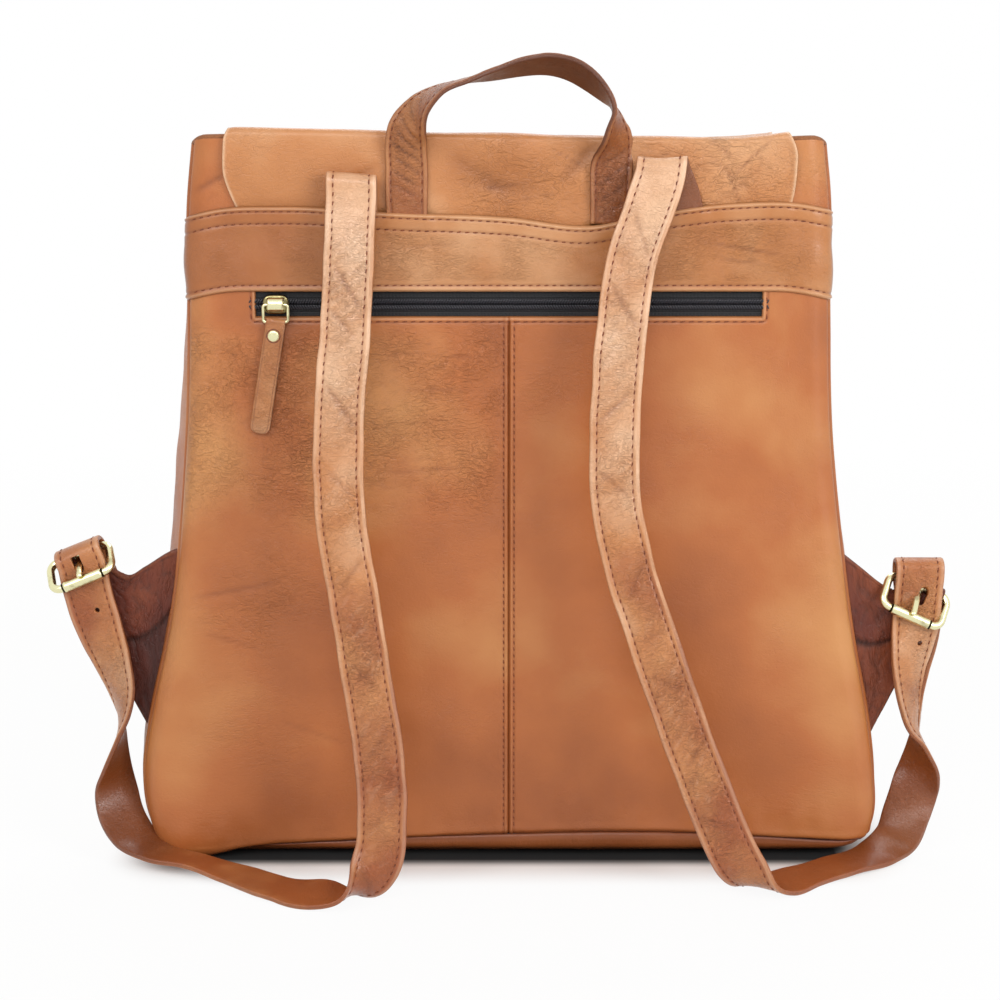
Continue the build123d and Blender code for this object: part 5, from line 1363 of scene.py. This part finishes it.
def bucklePieces(side):
    # bent wire frame, rolled tube, and a bowed prong resting on it
    label = side.capitalize()
    origin, axes = buckleAxes(side)
    origin = origin + axes[0] * buckle["slide"][side]
    length, bore = buckle["length"], buckle["wire"] + 0.15
    loop = roundedLoop(buckle["half"], length, buckle["corner"], 9)
    path = origin + np.concatenate([loop, np.zeros((len(loop), 1))], 1) @ axes
    tube("buckleFrame" + label, path, buckle["wire"] + 0.08, brass, axes[2], sides=20, ring=True,
         body="root", replaces=(f"buckle_frame_{side}",), **brassy)
    long, radius = buckle["rollerLong"] / 2, buckle["roller"]
    end = [(long - 0.2, bore), (long, bore + 0.3), (long - 0.1, radius - 0.2), (long - 0.5, radius)]
    profile = mirrored(end, [(at, radius) for at in np.linspace(-long + 1.5, long - 1.5, 14)])
    lathe("buckleRoller" + label, origin, axes[0], profile, brass, sides=36, ring=True,
          body=f"roller_{side}", replaces=(f"buckle_roller_{side}",), **brassy)
    share = np.linspace(0, 1, 30)
    run = (length - 2.0) + (-buckle["over"] - length + 2.0) * share
    rise = buckle["slope"] * (length - run) + 0.5 * np.sin(np.pi * share)
    taper = np.sqrt(np.clip(1 - (np.abs(2 * share - 1)) ** 12, 0.03, 1))
    tube("buckleProng" + label, origin + np.stack([0 * run, run, rise], -1) @ axes,
         buckle["prong"] * (1.02 - 0.15 * share) * taper, brass, axes[2], sides=20, caps=True,
         squash=buckle["flatness"], body=f"prong_{side}", replaces=(f"buckle_prong_{side}",), **brassy)
    # near-black rings at each end of the roller: painted shadow in the gap between roller and frame
    inner, outer = buckle["shadowRing"]
    for sign in (-1, 1):
        near, far = sorted((sign * (long + 0.05), sign * (long + 1.0)))
        shadowRing = [(near, inner), (near, outer), (far, outer), (far, inner)]
        lathe("bucklePaintedShadowRing" + label, origin, axes[0], shadowRing, shadowBrass, sides=28, ring=True, body="root",
              **brassy)
    wide, outer = buckle["eyeWide"] / 2, buckle["eye"]
    end = [(wide - 0.2, bore), (wide, bore + 0.4), (wide - 0.3, outer - 0.1), (wide - 0.8, outer)]
    lathe("buckleEye" + label, origin + np.array([0.0, length, 0.0]) @ axes, axes[0], mirrored(end), brass,
          sides=28, ring=True, body=f"prong_{side}", **brassy)


sideTab = {"neck": 8.0, "half": 11.2, "thick": 2.2, "loop": 3.8, "gap": 2.8, "end": 2.6}


def tabPieces(side, seamLow, seamHigh, layer):
    # a fan of leather from the gusset seam to the bar, and the two loops it makes round the bar
    label, sign, seed = side.capitalize(), layer["sign"], layer["seed"]
    origin, axes = buckleAxes(side)
    along, bar = axes[0], origin + axes[1] * buckle["length"]
    down = np.array([along[2], 0.0, -along[0]])
    share = np.concatenate([np.linspace(0, 1, 60), 1 + np.array([0.04, 0.08, 0.11])])
    across = np.concatenate([[-1, -0.985, -0.96, -0.93], np.linspace(-0.9, 0.9, 44), [0.93, 0.96, 0.985, 1]])
    v, u = np.meshgrid(across, share)
    low, high = np.array(seamLow), np.array(seamHigh)
    seam = (low + high) / 2 + (high - low) / 2 * v[..., None]
    neck = bar + down * sideTab["neck"] + along * ((sideTab["half"] + 0.5) * v)[..., None]
    loopEnd = bar + down * sideTab["end"] + along * (sideTab["half"] * v)[..., None]
    t = np.clip(u, 0, 1)[..., None]
    points = seam * (1 - t) + neck * t
    points[..., 2] -= lineThrough(layer["sink"], np.clip(u, 0, 1)) * step(v * sign, -0.6, 1.0)
    points = np.where((u > 1)[..., None], neck + (loopEnd - neck) * ((u - 1) / 0.11)[..., None], points)
    width = np.linalg.norm(points[:, -1] - points[:, 0], axis=1)[:, None]
    away = (1 - np.abs(v)) / 2 * width
    reach = u * 45
    soft = 0.6 * waves(reach, v * width / 2, 40, seed) * np.sin(np.pi * np.clip(u, 0, 1))
    under = layer["from"][0] + layer["from"][1] * u - v * sign  # above 0 below the upper layer's edge
    fold = 0.7 * bump(under, 0, 0.03) * (1 - step(u, 0.7, 0.95))
    second = layer["step"] * step(under, -0.04, 0.04) * (1 - step(u, 0.75, 1.0))
    lip = -0.8 * np.exp(-(away / 0.6) ** 2) + 0.25 * bump(away, 1.8, 1.1)
    net = creases(reach, v * 30, 12, seed + 3, sharp=7)
    depth = sideTab["thick"] / 2 + soft - fold - second + lip - 0.3 * bump(away, 3.0, 0.5) - 0.4 * net
    # tone paints one side of each tab lighter, and its lower layer lighter on the right tab and darker on the
    # left: painted light and shade
    tone = layer["tone"] + 0.5 * step(v * sign, 0.2, 0.9) + layer["shade"] * step(under, -0.05, 0.1)
    fields = {"relief": -0.8 * fold - 0.5 * net + 0.4 * bump(away, 1.4, 0.9) - 0.5 * bump(away, 3.0, 0.4),
              "tone": tone + 0.3 * waves(reach, v * 40, 30, 7),
              "edge": 0.15 * np.exp(-(away / 0.9) ** 2) + 0.5 * bump(under, 0, 0.05), "crush": 0.6}
    gridObject("sideTab" + label, points + normalsOf(points) * depth[..., None], darkLeather,
               thickness=sideTab["thick"], rim=darkEdge, replaces=(f"side_tab_{side}",), fields=fields,
               **sewn)
    radius, inner = sideTab["loop"], buckle["wire"] + 0.2
    for way in (-1, 1):
        start, end = sorted((sideTab["gap"] * way, sideTab["half"] * way))
        profile = [(start, inner), (start, radius - 0.4), (start + 0.4, radius), (end - 0.4, radius),
                   (end, radius - 0.4), (end, inner)]
        lathe("sideTabLoop" + label, bar, along, profile, darkLeather, sides=32, ring=True,
              fields={"tone": layer["tone"], "edge": 0.1, "crush": 0.5, "relief": 0.0}, **sewn)


for side in ("left", "right"):
    bucklePieces(side)
tabPieces("left", (-184.5, -44.0, 57.0), (-168.0, -44.0, 163.5),
          {"seed": 601, "step": 1.4, "from": (0.43, -2.0), "sign": 1, "tone": 0.2, "shade": -0.9,
           "sink": [(0, 0), (0.12, 0.6), (0.5, 7.0), (0.7, 10.0), (0.85, 6.5), (1, 1.0)]})
tabPieces("right", (171.0, -44.0, 161.5), (188.6, -44.0, 60.0),
          {"seed": 621, "step": 0.9, "from": (0.06, -0.75), "sign": -1, "tone": 0.5, "shade": 0.6,
           "sink": [(0, 0), (0.4, 0.6), (0.7, 1.2), (1, 0)]})


snap = {"height": 236.0, "gap": 1.2, "rings": [(0.0, 8.2), (0.12, 8.9), (0.3, 9.0), (0.45, 8.7), (0.45, 6.0),
                                               (0.3, 5.6), (0.3, 3.2), (0.45, 2.8), (0.45, 0.0)]}
frontFall = (bag["frontLow"] - bag["frontHigh"]) / bag["height"]


def snapDisc(name, node, body, start, end):
    # a flat steel disc with a rolled rim and a ring pressed into its face
    lean, height = np.arctan(frontFall), snap["height"]
    axis = np.array([0.0, np.cos(lean), np.sin(lean)])
    middle = np.array([0.0, bag["frontLow"] - frontFall * height, height])
    thick = abs(end - start)
    profile = [(0.0, 0.0)] + [(min(along, thick), radius) for along, radius in snap["rings"]]
    lathe(name, middle + axis * start, axis * np.sign(end - start), profile, snapSteel, sides=40, body=body,
          replaces=(node,), slot="snap_steel")


room = snap["gap"] * np.cos(np.arctan(frontFall))
snapDisc("snapSocket", "snap_socket", "root", 0.0, room / 2 - 0.15)
snapDisc("snapStud", "snap_stud", "flap_front", room, room / 2 + 0.15)
for node, material in (("zip_pocket", cottonLining), ("base_board", greyBoard)):
    frame["nodes"][node].data.materials.clear()
    frame["nodes"][node].data.materials.append(material)
print("buckles, tabs and snap made")


# studio: white paper under and behind the bag with a painted contact shadow round its base, soft lamps round it
studio = {"floor": 3.0, "lens": 79.3, "place": (-0.0045, -1.158, 0.400), "tilt": 79.222, "room": 0.42,
          "half": (0.168, 0.057), "near": 0.0, "far": 0.93}


def seenDirectly(tree):
    # 1 for rays from the camera, off a mirror or through glass
    path = addNode(tree, "LightPath")
    first = addNode(tree, "Math", {0: (path, "Is Camera Ray"), 1: (path, "Is Glossy Ray")}, operation="MAXIMUM")
    return addNode(tree, "Math", {0: first, 1: (path, "Is Transmission Ray")}, operation="MAXIMUM")


def paperMaterial():
    # white paper: mostly even white when seen directly, plain matt paper in the shadow close to the bag, and
    # near black right at the bag's footprint as a painted contact shadow
    material, tree, shader = newMaterial("paperBackdropPaintedShadow")
    parts = addNode(tree, "SeparateXYZ", {"Vector": (addNode(tree, "TexCoord"), "Object")})
    sides = []
    for axis, half in zip("XY", studio["half"]):
        size = addNode(tree, "Math", {0: (parts, axis)}, operation="ABSOLUTE")
        past = addNode(tree, "Math", {0: size, 1: half}, operation="SUBTRACT")
        clear = addNode(tree, "Math", {0: past, 1: 0.0}, operation="MAXIMUM")
        sides.append(addNode(tree, "Math", {0: clear, 1: 2.0}, operation="POWER"))
    both = addNode(tree, "Math", dict(enumerate(sides)), operation="ADD")
    away = addNode(tree, "Math", {0: both}, operation="SQRT")
    close = addNode(tree, "MapRange", {"Value": away, "From Min": 0.008, "From Max": 0.045,
                                       "To Min": studio["near"], "To Max": studio["far"]},
                    interpolation_type="SMOOTHSTEP")
    distant = addNode(tree, "MapRange", {"Value": away, "From Min": 0.4, "From Max": 1.2,
                                         "To Max": 1.0 - studio["far"]})
    share = addNode(tree, "Math", {0: close, 1: distant}, operation="ADD")
    seen = addNode(tree, "Math", {0: seenDirectly(tree), 1: share}, operation="MULTIPLY")
    glow = addNode(tree, "Emission", {"Color": (1, 1, 1, 1), "Strength": 1.0})
    mixed = addNode(tree, "MixShader", {0: seen, 1: shader, 2: glow})
    # painted contact shadow: the paper's colour is near black within 6 mm of the footprint and white beyond 14
    # mm
    stops = [(0.006, hexColour("#0A0A0B")), (0.014, hexColour("#F4F4F2"))]
    connect(tree, shader, {"Base Color": addNode(tree, "ValToRGB", {"Fac": away}, stops), "Roughness": 0.9})
    connect(tree, tree.nodes["Material Output"], {"Surface": mixed})
    return material


def studioSet():
    size, low = studio["floor"], -0.0003
    corners = [(-size, -size, low), (size, -size, low), (size, size, low), (-size, size, low)]
    floor = newObject("studioFloor", corners, [[0, 1, 2, 3]], paperMaterial())
    world = bpy.data.worlds.new("softRoom")
    bpy.context.scene.world = world
    world.use_nodes = True
    tree = world.node_tree
    white = addNode(tree, "Background", {"Color": (1, 1, 1, 1), "Strength": 1.0})
    dim = tree.nodes["Background"]
    dim.inputs["Color"].default_value = (1, 1, 1, 1)
    dim.inputs["Strength"].default_value = studio["room"]
    mixed = addNode(tree, "MixShader", {0: seenDirectly(tree), 1: (dim, 0), 2: (white, 0)})
    tree.links.new(mixed.outputs[0], tree.nodes["World Output"].inputs["Surface"])


def softbox(name, place, aim, size, power):
    light = bpy.data.lights.new(name, "AREA")
    light.shape, light.size, light.energy = "SQUARE", size, power
    lamp = bpy.data.objects.new(name, light)
    bpy.context.scene.collection.objects.link(lamp)
    lamp.location = place
    lamp.rotation_mode = "QUATERNION"
    lamp.rotation_quaternion = (Vector(place) - Vector(aim)).to_track_quat("Z", "Y")


studioSet()
softbox("keyLeft", (-1.1, -1.5, 1.5), (0, -0.05, 0.2), 1.0, 11)
softbox("fillRight", (1.3, -1.3, 0.9), (0, -0.05, 0.2), 0.9, 16)
softbox("topBack", (0.1, 0.9, 1.5), (0, 0, 0.3), 0.9, 9)
softbox("frontHigh", (-0.1, -1.7, 1.25), (0, -0.1, 0.25), 0.7, 9)
camera = bpy.data.objects.new("camera", bpy.data.cameras.new("camera"))
bpy.context.scene.collection.objects.link(camera)
camera.location = studio["place"]
camera.rotation_euler = (np.radians(studio["tilt"]), 0, 0)
camera.data.lens = studio["lens"]
camera.data.sensor_width = 36
bpy.context.scene.camera = camera
bpy.context.scene.view_settings.view_transform = "Standard"
print("studio made")
